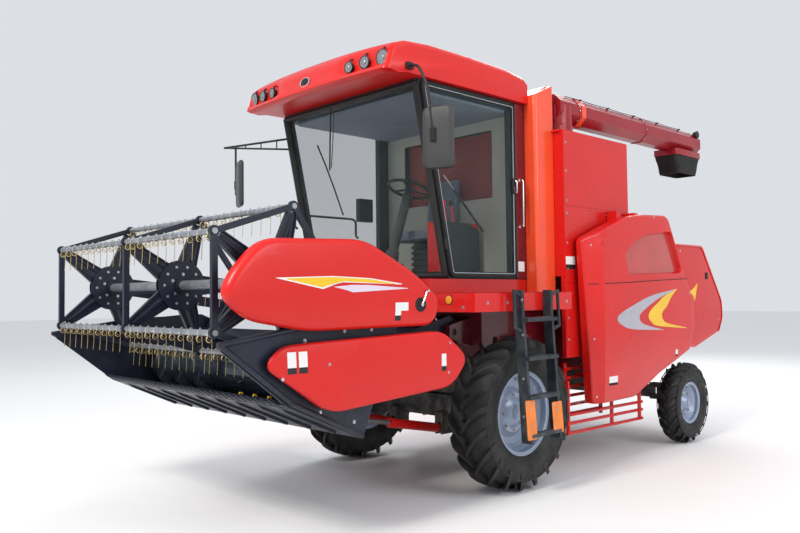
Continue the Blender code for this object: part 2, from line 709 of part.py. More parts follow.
hinge_low = door_hinge(2.050)
hinge_high = door_hinge(3.100)
lean = (hinge_high - hinge_low).normalized()
pieces = []
for at in (hinge_low, hinge_high):
    pieces.append(rod(at - lean * 0.045, at + lean * 0.045, 0.014, 16))
    pieces.append(box((DOOR_IN + 0.002, at.y, at.z - 0.030), (DOOR_OUT - 0.002, at.y + 0.040, at.z + 0.030)))
HANDLE_Y = DOOR_REAR + 0.018
pieces.append(rod((DOOR_OUT + 0.020, HANDLE_Y, 2.520), (DOOR_OUT + 0.020, HANDLE_Y, 2.700), 0.012, 8))
for z in (2.535, 2.685):
    pieces.append(box((DOOR_OUT - 0.004, HANDLE_Y - 0.008, z - 0.01), (DOOR_OUT + 0.022, HANDLE_Y + 0.008, z + 0.01)))
door = union(door, *pieces)
node("cab_door", door, "black", hinge_low)
pane = inset(door_inner, GAP)
node("door_glass", slab("X", pane, DOOR_IN + 0.006, DOOR_IN + 0.012), "glass", hinge_low)

roof_side = [
    (ROOF_FRONT, 3.400), (-1.240, 3.520), (-1.060, 3.650), (-0.750, ROOF_TOP), (0.300, ROOF_TOP),
    (CAB_REAR, 3.620), (CAB_REAR, ROOF_UNDER), (-0.950, ROOF_UNDER), (-1.100, 3.370),
]
roof = slab("X", roof_side, -ROOF_HALF, ROOF_HALF)
lamps = [
    rod((x, -1.28 + back, z), (x, -1.05 + back, z), r, 12)
    for x, back, z, r in ((0.86, 0.060, 3.475, 0.058), (0.68, 0.02, 3.47, 0.048), (0.53, 0.0, 3.465, 0.045),
                          (-0.86, 0.060, 3.475, 0.058), (-0.68, 0.02, 3.47, 0.048), (-0.53, 0.0, 3.465, 0.045))
]
node("cab_roof", union(roof, *lamps), "red")

seat = union(
    box((-0.230, 0.020, 2.150), (0.230, 0.480, 2.260)),
    slab("X", [(0.400, 2.220), (0.500, 2.220), (0.545, 2.780), (0.470, 2.800)], -0.220, 0.220),
    box((-0.140, 0.120, FLOOR_Z + POST + GAP * 2), (0.140, 0.400, 2.160)),
)
node("driver_seat", seat, "seat")
column_base = Vector((0, -0.290, FLOOR_Z + POST + 0.020))
column_top = Vector((0, -0.020, 2.590))
column = union(
    rod(column_base, column_top, 0.045, 10),
    box((-0.120, -0.380, FLOOR_Z + POST + GAP * 2), (0.120, -0.200, FLOOR_Z + POST + 0.10)),
)
node("steering_column", column, "black")
console = union(
    box((0.300, -0.060, FLOOR_Z + POST + GAP * 2), (0.480, 0.450, 2.300)),
    *[rod((0.390, y, 2.28), (0.390, y - 0.03, 2.48), 0.012, 8) for y in (0.0, 0.10, 0.20)],
)
node("lever_console", console, "red")

bpy.ops.mesh.primitive_torus_add(
    major_segments=20, minor_segments=8, major_radius=0.205, minor_radius=0.015, location=(0, 0, 0)
)
torus = bpy.context.object
steer_axis = (column_top - column_base).normalized()
steer_centre = column_top + steer_axis * 0.060
torus_mesh = torus.data.copy()
bpy.data.objects.remove(torus, do_unlink=True)
turn = steer_axis.to_track_quat("Z", "Y").to_matrix().to_4x4()
torus_mesh.transform(Matrix.Translation(steer_centre) @ turn)
spokes = []
for k in range(3):
    way = turn @ Vector((cos(2 * pi * k / 3), sin(2 * pi * k / 3), 0))
    spokes.append(rod(steer_centre, steer_centre + way * 0.203, 0.011, 6))
hub = rod(column_top + steer_axis * 0.0006, steer_centre + steer_axis * 0.015, 0.035, 10)
steer = union(tidy(torus_mesh), hub, *spokes)
node("steering_wheel", steer, "black", steer_centre)

MIRROR_HALF = 0.129  # half the width of a mirror head


def mirror_head(centre, low, high, turn):
    """A mirror head turned about Z towards the driver."""
    mesh = box((-MIRROR_HALF, -0.024, low), (MIRROR_HALF, 0.024, high))
    mesh.transform(Matrix.Translation((*centre, 0)) @ Matrix.Rotation(radians(turn), 4, "Z"))
    return mesh


left_bar = bent([(1.000, -0.950, 3.440), (1.100, -0.960, 3.420), (1.200, -0.955, 3.230), (1.235, -0.935, 2.960)], 0.012, 8)
left_foot = box((ROOF_HALF + GAP, -0.985, 3.415), (ROOF_HALF + 0.030, -0.915, 3.465))
node("mirror_left", union(left_bar, mirror_head((1.270, -0.925), 2.590, 3.070, 24.6), left_foot), "black")

right_end = (-CAB_HALF - 0.618, -1.100, 3.130)
right_drop = (-CAB_HALF - 0.455, -1.058)
right_bars = [
    rod((-CAB_HALF - 0.010, -0.700, 3.190), right_end, 0.012, 8),
    rod((-CAB_HALF - 0.010, -0.700, 3.080), right_end, 0.011, 8, 10),
    rod((-CAB_HALF - 0.560, -1.070, 3.130), (*right_drop, 3.130), 0.010, 8, 5),
    rod((*right_drop, 3.145), (*right_drop, 2.620), 0.012, 8, 3),
    rod((-CAB_HALF - 0.200, -0.827, 3.100), (-CAB_HALF - 0.200, -0.827, 3.172), 0.009, 8, 8),
]
right_foot = box((-CAB_HALF - 0.022, -0.716, 3.050), (-CAB_HALF - GAP, -0.684, 3.210))
right_head = mirror_head((-CAB_HALF - 0.325, -1.100), 2.510, 2.960, -22.5)
node("mirror_right", union(right_bars[0], *right_bars[1:], right_head, right_foot), "black")

# ---------------------------------------------------------------- unloading auger
base = union(
    rod((UNLOAD_X, UNLOAD_Y, 2.470), (UNLOAD_X, UNLOAD_Y, 3.235), UNLOAD_R, 16),
    box((UNLOAD_X - 0.05, TANK_FRONT + TANK_WALL + GAP, 2.96), (UNLOAD_X + 0.05, UNLOAD_Y, 3.04)),
)
node("unloading_base", base, "crimson")
arm = union(
    rod((UNLOAD_X, UNLOAD_Y, 3.235 + GAP), (UNLOAD_X, UNLOAD_Y, UNLOAD_Z + 0.06), UNLOAD_R, 16),
    rod((UNLOAD_X, UNLOAD_Y - 0.02, UNLOAD_Z + 0.02), (UNLOAD_X, UNLOAD_END, UNLOAD_Z + 0.02), UNLOAD_R * 0.98, 16),
)
node("unloading_tube", arm, "crimson", (UNLOAD_X, UNLOAD_Y, UNLOAD_Z))
spout = slab("X", [(3.260, UNLOAD_Z - 0.10), (3.860, UNLOAD_Z - 0.10), (3.780, 3.020), (3.340, 3.020)],
             UNLOAD_X - 0.150, UNLOAD_X + 0.150)
spout = less(
    spout,
    rod((UNLOAD_X, 3.0, UNLOAD_Z + 0.02), (UNLOAD_X, 4.0, UNLOAD_Z + 0.02), UNLOAD_R * 0.98 + GAP, 16),
    slab("X", [(3.290, UNLOAD_Z), (3.830, UNLOAD_Z), (3.750, 2.95), (3.370, 2.95)], UNLOAD_X - 0.130, UNLOAD_X + 0.130),
)
node("unloading_spout", spout, "rubber", (UNLOAD_X, UNLOAD_Y, UNLOAD_Z))

# ---------------------------------------------------------------- feeder house and header
hinge = (0, HINGE_Y, HINGE_Z)
feeder_side = [(BACK_Y + GAP, -1.200), (BACK_Y + GAP, -0.600), (-0.800, -0.440), (-0.130, 0.075), (-0.060, 0.130), (0.060, 0.130),
               (0.130, 0.060), (0.140, -0.050), (0.080, -0.125)]
feeder = slab("X", header_outline(feeder_side), -FEEDER_HALF, FEEDER_HALF)
eye_y, eye_z = header_point(LIFT_EYE_Y, LIFT_EYE_Z)
lugs = []
for x in (-LIFT_X, LIFT_X):
    for inside in (-1, 1):
        low, high = sorted((x + inside * LUG_HALF, x + inside * 0.045))
        lugs.append(slab("X", header_outline([(-0.920, -0.900), (-0.860, -1.085), (-0.780, -1.085), (-0.700, -0.700)]), low, high))
pivots = [rod((s * (FEEDER_HALF - 0.02), *hinge[1:]), (s * (FEEDER_HALF + 0.050), *hinge[1:]), 0.030, 16) for s in (-1, 1)]
feeder = union(feeder, *lugs, *pivots)
# pin ends on the lugs' outer faces; the pin's middle is left out, as the rod's eye is the open pivot
feeder = union(feeder, *[
    rod((x + inside * 0.042, eye_y, eye_z), (x + inside * 0.056, eye_y, eye_z), 0.020, 8)
    for x in (-LIFT_X, LIFT_X) for inside in (-1, 1)
])
node("feeder_house", feeder, "black", hinge)

wall = [
    (-2.473, -1.057), (-2.440, -1.020), (-1.894, -0.690), (-1.500, -0.480), (-1.300, -0.390), (BACK_Y + 0.01, -0.390),
    (BACK_Y + 0.01, -1.232),
    (-1.850, -1.232), (-2.440, -1.080),
]
pan_low = PAN_Z - 0.012
header_shell = union(
    slab("X", header_outline([(KNIFE_Y, pan_low), (KNIFE_Y, PAN_Z), (BACK_Y - 0.25, PAN_Z), (BACK_Y - 0.02, -1.10),
                              (BACK_Y - 0.02, -0.600), (BACK_Y - 0.06, -0.600), (BACK_Y - 0.06, -0.500), (BACK_Y, -0.500),
                              (BACK_Y, pan_low)]), -WALL_X, WALL_X),
    slab("X", header_outline(wall), WALL_X - WALL_T / 2, WALL_X + WALL_T / 2),
    slab("X", header_outline(wall), -WALL_X - WALL_T / 2, -WALL_X + WALL_T / 2),
)
opening = slab("X", header_outline([(BACK_Y - 0.3, -1.120), (BACK_Y - 0.3, -0.680), (BACK_Y + 0.1, -0.680), (BACK_Y + 0.1, -1.120)]),
               BODY_X - 0.360, BODY_X + 0.360)
header_shell = less(header_shell, opening)
pivot_y, pivot_z = header_point(REEL_PIVOT_Y, REEL_PIVOT_Z)
towers = []
for sign in (-1, 1):
    low, high = sorted((sign * 1.180, sign * 1.205))
    tower = slab("X", header_outline([(REEL_PIVOT_Y - 0.06, REEL_PIVOT_Z + 0.05), (REEL_PIVOT_Y + 0.052, REEL_PIVOT_Z + 0.05),
                                      (REEL_PIVOT_Y + 0.052, REEL_PIVOT_Z - 0.05), (BACK_Y - 0.004, -0.500),
                                      (BACK_Y - 0.004, -0.520), (BACK_Y - 0.05, -0.560), (BACK_Y - 0.05, -0.450)]), low, high)
    towers.append(less(tower, rod((low - 0.1, pivot_y, pivot_z), (high + 0.1, pivot_y, pivot_z), 0.0318, 16)))
header_shell = union(header_shell, *towers)
auger_y, auger_z = header_point(AUGER_Y, AUGER_Z)
header_shell = less(header_shell, *[
    rod((s * (WALL_X - 0.05), auger_y, auger_z), (s * (WALL_X + 0.05), auger_y, auger_z), 0.0308, 16) for s in (-1, 1)])
for sign in (-1, 1):
    x = sign * (WALL_X + WALL_T / 2 + 0.014)
    edge = [(x, BACK_Y - 0.01, -1.215), (x, -1.850, -1.200), (x, -2.473, -1.050), (x, -1.894, -0.690), (x, -1.340, -0.438)]
    header_shell = union(header_shell, header_tube(edge, 0.018, 8))
node("header_trough", header_shell, "navy", hinge)

guards = [
    slab("Z", [(x - 0.020, -0.002), (x + 0.020, -0.002), (x + 0.006, -0.105), (x - 0.006, -0.105)], -0.010, 0.010)
    for x in [(-1.20 + 2.40 * i / 31) for i in range(32)]
]
bar = box((-WALL_X + 0.012, -0.030, -0.012), (WALL_X - 0.012, 0.030, 0.012))
knife = union(bar, *guards)
ky, kz = header_point(KNIFE_Y - 0.030 - GAP, PAN_Z + 0.002)
knife.transform(Matrix.Translation((0, ky, kz)) @ Matrix.Rotation(TILT, 4, "X"))
node("knife_bar", knife, "steel", hinge)

AUGER_HALF = WALL_X - WALL_T / 2 - 0.012
auger_tube = union(
    rod((-AUGER_HALF, 0, 0), (AUGER_HALF, 0, 0), AUGER_TUBE_R, 20),
    rod((-WALL_X - 0.004, 0, 0), (WALL_X + 0.004, 0, 0), 0.030, 16),
)


def flight(x0, x1, turns, hand):
    """A screw flight standing on the auger tube, as one thick helix."""
    count = int(turns * 12)
    inner_r = AUGER_TUBE_R - 0.020
    points = []
    faces = []
    for i in range(count + 1):
        a = hand * 2 * pi * turns * i / count
        x = x0 + (x1 - x0) * i / count
        for r, dx in ((inner_r, -0.010), (AUGER_R, -0.006), (AUGER_R, 0.006), (inner_r, 0.010)):
            points.append((x + dx, r * cos(a), r * sin(a)))
    for i in range(count):
        for k in range(4):
            a = 4 * i + k
            b = 4 * i + (k + 1) % 4
            faces.append((a, b, b + 4, a + 4))
    faces.append((3, 2, 1, 0))
    faces.append(tuple(4 * count + k for k in range(4)))
    mesh = bpy.data.meshes.new("flight")
    mesh.from_pydata(points, [], faces)
    return tidy(mesh)


auger = union(
    auger_tube,
    flight(-AUGER_HALF + 0.03, BODY_X - 0.36, 3.5, 1),
    flight(BODY_X + 0.36, AUGER_HALF - 0.03, 2.0, 1),
    *[rod((BODY_X + x, 0.10 * cos(a), 0.10 * sin(a)), (BODY_X + x, 0.205 * cos(a), 0.205 * sin(a)), 0.010, 6)
      for x, a in ((-0.24, 0.3), (-0.12, 1.9), (0.0, 3.4), (0.12, 4.9), (0.24, 0.9))],
)
auger.transform(Matrix.Translation((0, auger_y, auger_z)))
node("header_auger", auger, "navy", (0, auger_y, auger_z))

# ---------------------------------------------------------------- reel
reel_centre = (REEL_Y, REEL_Z)
vertices = [
    (REEL_Y - REEL_R * cos(radians(FIRST_BAR + 72 * k)), REEL_Z + REEL_R * sin(radians(FIRST_BAR + 72 * k)))
    for k in range(5)
]


def toward(a, b, distance, side=0.0):
    way = Vector((b[0] - a[0], b[1] - a[1])).normalized()
    return (a[0] + way.x * distance - way.y * side, a[1] + way.y * distance + way.x * side)


HUB_OPEN_R = 0.170  # inner corners of the openings between the arms
RIM_OPEN_R = 0.466  # outer corners, measured along an arm
ARM_HUB_W = 0.062  # half width of an arm there
ARM_RIM_W = 0.034


def spider(x):
    """A five armed star with its rim and disc, and a round hole at each corner for a tine bar."""
    rim = []
    openings = []
    for k in range(5):
        a = vertices[k]
        b = vertices[(k + 1) % 5]
        rim.append(toward(reel_centre, a, REEL_R + 0.036, 0.028))
        rim.append(toward(reel_centre, a, REEL_R + 0.036, -0.028))
        openings.append([
            toward(reel_centre, a, HUB_OPEN_R, -ARM_HUB_W),
            toward(reel_centre, a, RIM_OPEN_R, -ARM_RIM_W),
            toward(reel_centre, b, RIM_OPEN_R, ARM_RIM_W),
            toward(reel_centre, b, HUB_OPEN_R, ARM_HUB_W),
        ])
        openings.append(ring_points(a, TINE_HOLE_R, 12, 15))
    return slab("X", rim, x - REEL_PLATE / 2, x + REEL_PLATE / 2, openings)


SPIDERS = (-REEL_HALF, 0.0, REEL_HALF)
reel = union(rod((-1.262, *reel_centre), (1.262, *reel_centre), REEL_SHAFT_R, 16), *[spider(x) for x in SPIDERS])
node("reel", reel, "navy", (0, *reel_centre))

for k, v in enumerate(vertices):
    comb = []
    span = 2 * REEL_HALF - 0.09
    teeth = []
    for t in range(TINES):
        x = -span / 2 + span * t / (TINES - 1)
        if abs(x) < 0.03:
            x += 0.045
        teeth.append(x)
    outline = [(-span / 2 - 0.02, -0.008), (-span / 2 - 0.02, 0.012), (span / 2 + 0.02, 0.012), (span / 2 + 0.02, -0.008)]
    for x in reversed(teeth):
        outline += [(x + 0.005, -0.008), (x + 0.004, -TINE_LENGTH), (x - 0.004, -TINE_LENGTH), (x - 0.005, -0.008)]
    plate = slab("Y", outline, -0.004, 0.004)
    plate = less(plate, box((-0.022, -0.1, -0.1), (0.022, 0.1, 0.1)))
    # the comb's two halves stand on one round bar
    plate.transform(Matrix.Translation((0, v[0], v[1])))
    bar = union(rod((-TINE_BAR_HALF, *v), (TINE_BAR_HALF, *v), TINE_BAR_R, 12), plate)
    node(f"tine_bar_{k + 1}", bar, "grey", (0, *v))

ARM_X = (1.236, 1.268)
arms = []
for sign in (-1, 1):
    low, high = sorted((sign * ARM_X[0], sign * ARM_X[1]))
    ends = (reel_centre, (pivot_y, pivot_z))
    outline = [toward(ends[0], ends[1], -0.05, -0.045), toward(ends[1], ends[0], -0.05, 0.045),
               toward(ends[1], ends[0], -0.05, -0.045), toward(ends[0], ends[1], -0.05, 0.045)]
    beam = slab("X", outline, low, high)
    arms.append(less(beam, rod((low - 0.1, *reel_centre), (high + 0.1, *reel_centre), REEL_SHAFT_R + 0.0009, 16)))
arms = union(rod((-ARM_X[1] + 0.002, pivot_y, pivot_z), (WALL_X + 0.050 - GAP, pivot_y, pivot_z), 0.0310, 16), *arms)
node("reel_arms", arms, "navy", (0, pivot_y, pivot_z))

COVER_IN = WALL_X + 0.050
COVER_DEPTH = 0.090
COVER_OUT = COVER_IN + COVER_DEPTH
upper = [(-2.870, 1.640), (-2.800, 1.780), (-2.600, 1.985), (-1.770, 2.010), (-1.300, 1.790), (-1.040, 1.600), (-1.110, 1.405),
         (-2.250, 1.405), (-2.700, 1.490)]
upper_cover = slab("X", upper, COVER_IN, COVER_OUT)
node("reel_drive_cover", upper_cover, "red", (0, pivot_y, pivot_z))
lower = [(-2.560, 1.200), (-2.440, 1.320), (-2.200, 1.335), (-1.030, 1.365), (-0.760, 1.150), (-0.940, 0.950), (-2.080, 0.875)]
lower_cover = union(
    slab("X", lower, COVER_IN, COVER_OUT),
    box((WALL_X + WALL_T / 2 + GAP, -1.850, 1.000), (COVER_IN + 0.010, -1.620, 1.200)),
)
node("header_drive_cover", lower_cover, "red", hinge)

# ---------------------------------------------------------------- header lift cylinders
for side, sign in (("left", 1), ("right", -1)):
    x = sign * LIFT_X
    base_at = Vector((x, LIFT_BASE_Y, LIFT_BASE_Z))
    eye_at = Vector((x, eye_y, eye_z))
    way = (eye_at - base_at).normalized()
    barrel = union(
        rod(base_at + way * 0.070, base_at + way * 0.660, 0.040, 12),
        rod(base_at, base_at + way * 0.080, 0.018, 12),
        rod(base_at - Vector((0.020, 0, 0)), base_at + Vector((0.020, 0, 0)), 0.030, 12),
    )
    barrel = less(
        barrel,
        rod(base_at + way * 0.190, base_at + way * 0.700, 0.0202, 12),
        rod(base_at - Vector((0.1, 0, 0)), base_at + Vector((0.1, 0, 0)), 0.0150, 12),
    )
    node(f"lift_cylinder_{side}", barrel, "red", base_at)
    ram = union(
        rod(base_at + way * 0.560, eye_at - way * 0.020, 0.0195, 12),
        rod(eye_at - Vector((0.020, 0, 0)), eye_at + Vector((0.020, 0, 0)), 0.030, 12),
    )
    ram = less(ram, rod(eye_at - Vector((0.1, 0, 0)), eye_at + Vector((0.1, 0, 0)), 0.0150, 12))
    node(f"lift_rod_{side}", ram, "steel", eye_at)

# ---------------------------------------------------------------- to the machine's middle
ON_BODY_CENTRE = (
    "front_", "rear_tyre", "rear_rim", "rear_axle_beam", "rear_hood", "steering_knuckle", "tie_rod", "chassis_frame",
    "threshing_body", "engine_block", "radiator_screen", "grain_tank", "side_hood", "lower_guard", "slat_grille",
    "feeder_house", "lift_",
)
for obj in parts.objects:
    obj.location.y += FRONT_AXLE_Y
    if obj.name.startswith(ON_BODY_CENTRE):
        obj.location.x += BODY_X
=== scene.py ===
"""Looks of the combine harvester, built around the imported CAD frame.

Metres, +Z up, the machine looks along -Y and its left side is +X. Lengths called "back" are
measured along Y from the front axle, as the frame's joints give it.
"""

import json
from math import cos, pi, radians, sin

import bmesh
import bpy
from mathutils import Matrix, Vector
from mathutils.geometry import delaunay_2d_cdt


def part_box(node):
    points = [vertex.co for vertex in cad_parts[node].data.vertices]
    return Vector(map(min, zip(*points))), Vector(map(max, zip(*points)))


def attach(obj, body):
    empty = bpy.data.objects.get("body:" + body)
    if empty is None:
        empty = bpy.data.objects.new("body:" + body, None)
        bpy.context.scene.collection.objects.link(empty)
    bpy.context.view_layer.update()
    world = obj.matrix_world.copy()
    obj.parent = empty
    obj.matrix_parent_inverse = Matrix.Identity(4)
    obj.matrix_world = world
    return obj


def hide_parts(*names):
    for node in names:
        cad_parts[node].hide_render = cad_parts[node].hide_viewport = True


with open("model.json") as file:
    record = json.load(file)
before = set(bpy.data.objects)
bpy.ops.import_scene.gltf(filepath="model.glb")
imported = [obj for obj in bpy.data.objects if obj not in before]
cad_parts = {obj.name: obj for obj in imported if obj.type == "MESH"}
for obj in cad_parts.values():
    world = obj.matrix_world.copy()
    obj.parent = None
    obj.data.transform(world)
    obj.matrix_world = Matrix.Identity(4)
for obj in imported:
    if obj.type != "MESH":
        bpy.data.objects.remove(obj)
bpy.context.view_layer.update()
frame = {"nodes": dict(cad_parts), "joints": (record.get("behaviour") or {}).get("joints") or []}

JOINTS = {joint["name"]: joint for joint in frame["joints"]}


def joint_at(name):
    return Vector(JOINTS[name]["pos_m"])


AXLE_Y = joint_at("front_wheel_left_spin").y
HINGE = joint_at("header_lift")
BODY_X = HINGE.x  # centre line of the body; the cab and header stand on X = 0
TILT = radians(-24)  # the header is raised by this much
LIFT = 0.0009  # how far a film stands off the panel it lies on
SIDES = (("left", 1), ("right", -1))


def at(x, back, z):
    """A point given from the front axle."""
    return Vector((x, back + AXLE_Y, z))


def from_axle(outline, index=0):
    """An outline whose coordinate at the index is given from the front axle."""
    return [tuple(value + AXLE_Y * (i == index) for i, value in enumerate(point)) for point in outline]


def header_at(x, y, z):
    """A point given in the header's own axes, which tilt about the feeder's hinge."""
    return Vector((x, HINGE.y + y * cos(TILT) - z * sin(TILT), HINGE.z + y * sin(TILT) + z * cos(TILT)))


def circle(count, wide, high=None, turn=0.0):
    """Points round a circle, or round an ellipse with a second radius."""
    high = wide if high is None else high
    angles = [2 * pi * k / count + turn for k in range(count)]
    return [(wide * cos(a), high * sin(a)) for a in angles]


def rectangle(a0, b0, a1, b1):
    return [(a0, b0), (a1, b0), (a1, b1), (a0, b1)]


# --- materials
DUST, WORN = (0.36, 0.31, 0.24), (0.30, 0.29, 0.28)
COAT_ROUGH, SPECULAR, GRAIN_DEEP = 0.06, 0.35, 0.002


def material(name, color, rough, metallic=0.0, coat=0.0, vary=0.12, vary_size=2.0, dust=0.0, grain=0.0,
             grain_size=300.0, scratch=0.0, sheen=0.0, drift=0.10):
    """A painted, moulded or metal surface: colour and roughness drift, grain, dust low down, fine scratches."""
    made = bpy.data.materials.new(name)
    made.use_nodes = True
    nodes = made.node_tree.nodes
    link = made.node_tree.links.new
    shader = nodes["Principled BSDF"]
    shader.inputs["Metallic"].default_value = metallic
    shader.inputs["Coat Weight"].default_value = coat
    shader.inputs["Coat Roughness"].default_value = COAT_ROUGH
    shader.inputs["Specular IOR Level"].default_value = SPECULAR
    shader.inputs["Sheen Weight"].default_value = sheen
    place = nodes.new("ShaderNodeTexCoord").outputs["Object"]

    def cloud(size, detail=4.0, rough_noise=0.55):
        node = nodes.new("ShaderNodeTexNoise")
        node.inputs["Scale"].default_value = size
        node.inputs["Detail"].default_value = detail
        node.inputs["Roughness"].default_value = rough_noise
        link(place, node.inputs["Vector"])
        return node.outputs["Fac"]

    def remap(value, low, high, to_low, to_high):
        node = nodes.new("ShaderNodeMapRange")
        for key, number in zip(("From Min", "From Max", "To Min", "To Max"), (low, high, to_low, to_high)):
            node.inputs[key].default_value = number
        link(value, node.inputs["Value"])
        return node.outputs["Result"]

    def mixed(factor, first, second):
        node = nodes.new("ShaderNodeMix")
        node.data_type = "RGBA"
        link(factor, node.inputs["Factor"])
        for socket, value in ((node.inputs[6], first), (node.inputs[7], second)):
            if isinstance(value, tuple):
                socket.default_value = (*value, 1.0)
            else:
                link(value, socket)
        return node.outputs[2]

    darker = tuple(c * (1 - vary) for c in color)
    lighter = tuple(min(1.0, c * (1 + vary * 0.6) + vary * 0.01) for c in color)
    tint = mixed(remap(cloud(vary_size), 0.3, 0.7, 0.0, 1.0), darker, lighter)
    if scratch:
        marks = remap(cloud(46.0, 8.0, 0.7), 0.66, 0.72, 0.0, scratch)
        tint = mixed(marks, tint, WORN)
    if dust:
        split = nodes.new("ShaderNodeSeparateXYZ")
        link(place, split.inputs["Vector"])
        low = remap(split.outputs["Z"], 0.1, 1.6, 1.0, 0.15)
        patches = remap(cloud(9.0, 8.0, 0.65), 0.38, 0.75, 0.0, dust)
        both = nodes.new("ShaderNodeMath")
        both.operation = "MULTIPLY"
        link(low, both.inputs[0])
        link(patches, both.inputs[1])
        tint = mixed(both.outputs[0], tint, DUST)
    link(tint, shader.inputs["Base Color"])
    shine = remap(cloud(14.0, 6.0), 0.3, 0.7, max(0.02, rough - drift / 2), min(1.0, rough + drift))
    link(shine, shader.inputs["Roughness"])
    if grain:
        bump = nodes.new("ShaderNodeBump")
        bump.inputs["Strength"].default_value = grain
        bump.inputs["Distance"].default_value = GRAIN_DEEP
        link(cloud(grain_size, 3.0), bump.inputs["Height"])
        link(bump.outputs["Normal"], shader.inputs["Normal"])
    return made


def clear(name, color, rough, alpha):
    """See-through sheet: window glass or a lens, with faint smears."""
    made = material(name, color, rough, vary=0.05, grain=0.03, grain_size=8.0)
    shader = made.node_tree.nodes["Principled BSDF"]
    shader.inputs["Alpha"].default_value = alpha
    shader.inputs["IOR"].default_value = 1.5
    made.surface_render_method = "BLENDED"
    return made


RED = material("red_paint", (0.62, 0.008, 0.006), 0.28, coat=0.30, vary=0.08, vary_size=1.3, dust=0.03, drift=0.02)
MOULDED = material("red_moulded", (0.64, 0.010, 0.007), 0.35, coat=0.12, vary=0.06, vary_size=1.6, dust=0.02,
                   drift=0.02)
ORANGE_RED = material("orange_red_paint", (0.84, 0.075, 0.020), 0.30, coat=0.6, vary=0.10, dust=0.08, grain=0.05,
                      grain_size=420)
MAROON = material("maroon_paint", (0.13, 0.006, 0.012), 0.28, coat=0.6, vary=0.14, grain=0.05, grain_size=420)
CRIMSON = material("crimson_paint", (0.30, 0.004, 0.012), 0.32, coat=0.25, vary=0.16, dust=0.08, grain=0.03)
NAVY = material("navy_paint", (0.006, 0.011, 0.028), 0.38, coat=0.10, vary=0.35, vary_size=5.0, dust=0.10,
                grain=0.05, grain_size=220, scratch=0.12)
CHASSIS = material("chassis_black", (0.013, 0.014, 0.018), 0.55, vary=0.35, vary_size=6.0, dust=0.55, grain=0.15,
                   grain_size=180, scratch=0.2)
BLACK = material("black_plastic", (0.012, 0.012, 0.013), 0.42, vary=0.2, dust=0.08, grain=0.12, grain_size=520)
GREY_PLASTIC = material("grey_plastic", (0.045, 0.046, 0.046), 0.42, vary=0.15, grain=0.14, grain_size=480)
LINER = material("cab_liner", (0.24, 0.30, 0.38), 0.75, vary=0.12, grain=0.25, grain_size=380)
WALL = material("cab_wall", (0.52, 0.53, 0.46), 0.65, vary=0.10, grain=0.16)
RUBBER = material("tyre_rubber", (0.008, 0.009, 0.011), 0.55, vary=0.35, vary_size=7.0, dust=0.10, grain=0.14,
                  grain_size=150)
SOFT_RUBBER = material("soft_rubber", (0.012, 0.012, 0.012), 0.70, vary=0.3, dust=0.2, grain=0.2, grain_size=260)
RIM = material("rim_paint", (0.30, 0.37, 0.50), 0.32, metallic=0.25, coat=0.35, vary=0.14, vary_size=6.0,
               dust=0.22, grain=0.06, grain_size=260)
ZINC = material("zinc", (0.52, 0.53, 0.55), 0.34, metallic=0.9, vary=0.2, vary_size=20.0, grain=0.08)
CHROME = material("chrome", (0.78, 0.79, 0.80), 0.12, metallic=1.0, vary=0.06, grain=0.02, grain_size=200)
GALVANISED = material("galvanised", (0.30, 0.32, 0.35), 0.42, metallic=0.7, vary=0.3, vary_size=16.0, dust=0.2,
                      grain=0.12, grain_size=200)
BRASS = material("spring_wire", (0.55, 0.43, 0.20), 0.34, metallic=0.75, vary=0.25, vary_size=30.0, grain=0.1)
STEEL = material("bare_steel", (0.25, 0.25, 0.26), 0.40, metallic=0.85, vary=0.35, vary_size=24.0, dust=0.2,
                 grain=0.15, grain_size=200, scratch=0.5)
LADDER_GREY = material("ladder_paint", (0.022, 0.032, 0.042), 0.42, metallic=0.2, vary=0.25, vary_size=9.0,
                       dust=0.25, grain=0.08, grain_size=260, scratch=0.7)
AUGER_BLUE = material("auger_paint", (0.045, 0.060, 0.085), 0.28, metallic=0.55, coat=0.3, vary=0.3,
                      vary_size=8.0, dust=0.1, grain=0.05, grain_size=200, scratch=0.6)
INSET = material("inset_paint", (0.50, 0.040, 0.030), 0.16, coat=0.8, vary=0.18, vary_size=3.0, grain=0.02,
                 grain_size=60)
ORANGE = material("orange_flap", (0.85, 0.22, 0.03), 0.45, vary=0.18, vary_size=12.0, dust=0.25, grain=0.1,
                  grain_size=260)
AMBER = material("amber_lens", (0.90, 0.30, 0.02), 0.15, coat=0.6, vary=0.1, grain=0.35, grain_size=90)
WHITE = material("white_film", (0.80, 0.80, 0.78), 0.35, coat=0.3, vary=0.05, grain=0.02, grain_size=200)
SILVER = material("silver_film", (0.52, 0.50, 0.55), 0.30, metallic=0.45, coat=0.3, vary=0.10, grain=0.02,
                  grain_size=200)
YELLOW = material("yellow_film", (0.88, 0.52, 0.015), 0.32, coat=0.4, vary=0.08, grain=0.02, grain_size=200)
KNOB_YELLOW = material("yellow_plastic", (0.85, 0.50, 0.02), 0.30, coat=0.4, vary=0.12, vary_size=25.0,
                       grain=0.05)
LILAC = material("pale_film", (0.72, 0.62, 0.72), 0.32, coat=0.3, vary=0.06, grain=0.02, grain_size=200)
REFLECTOR = material("lamp_reflector", (0.42, 0.44, 0.46), 0.16, metallic=0.8, vary=0.15, vary_size=60.0,
                     grain=0.5, grain_size=110)
CLOTH = material("seat_cloth", (0.16, 0.20, 0.26), 0.85, vary=0.18, vary_size=30.0, grain=0.5, grain_size=700,
                 sheen=0.3)
# near-black: the foot of labels and a patch on the rear hood, and painted shade in the grille's slots, the crank
# hole and the hood seam's gap
DARK_PRINT_AND_SHADE = material("dark_print_and_painted_shade", (0.010, 0.009, 0.009), 0.7, vary=0.3, grain=0.2, grain_size=200)
MIRROR_GLASS = material("mirror_glass", (0.62, 0.66, 0.70), 0.05, metallic=1.0, vary=0.04, grain=0.01,
                        grain_size=100)
GLASS = clear("window_glass", (0.05, 0.08, 0.08), 0.02, 0.15)
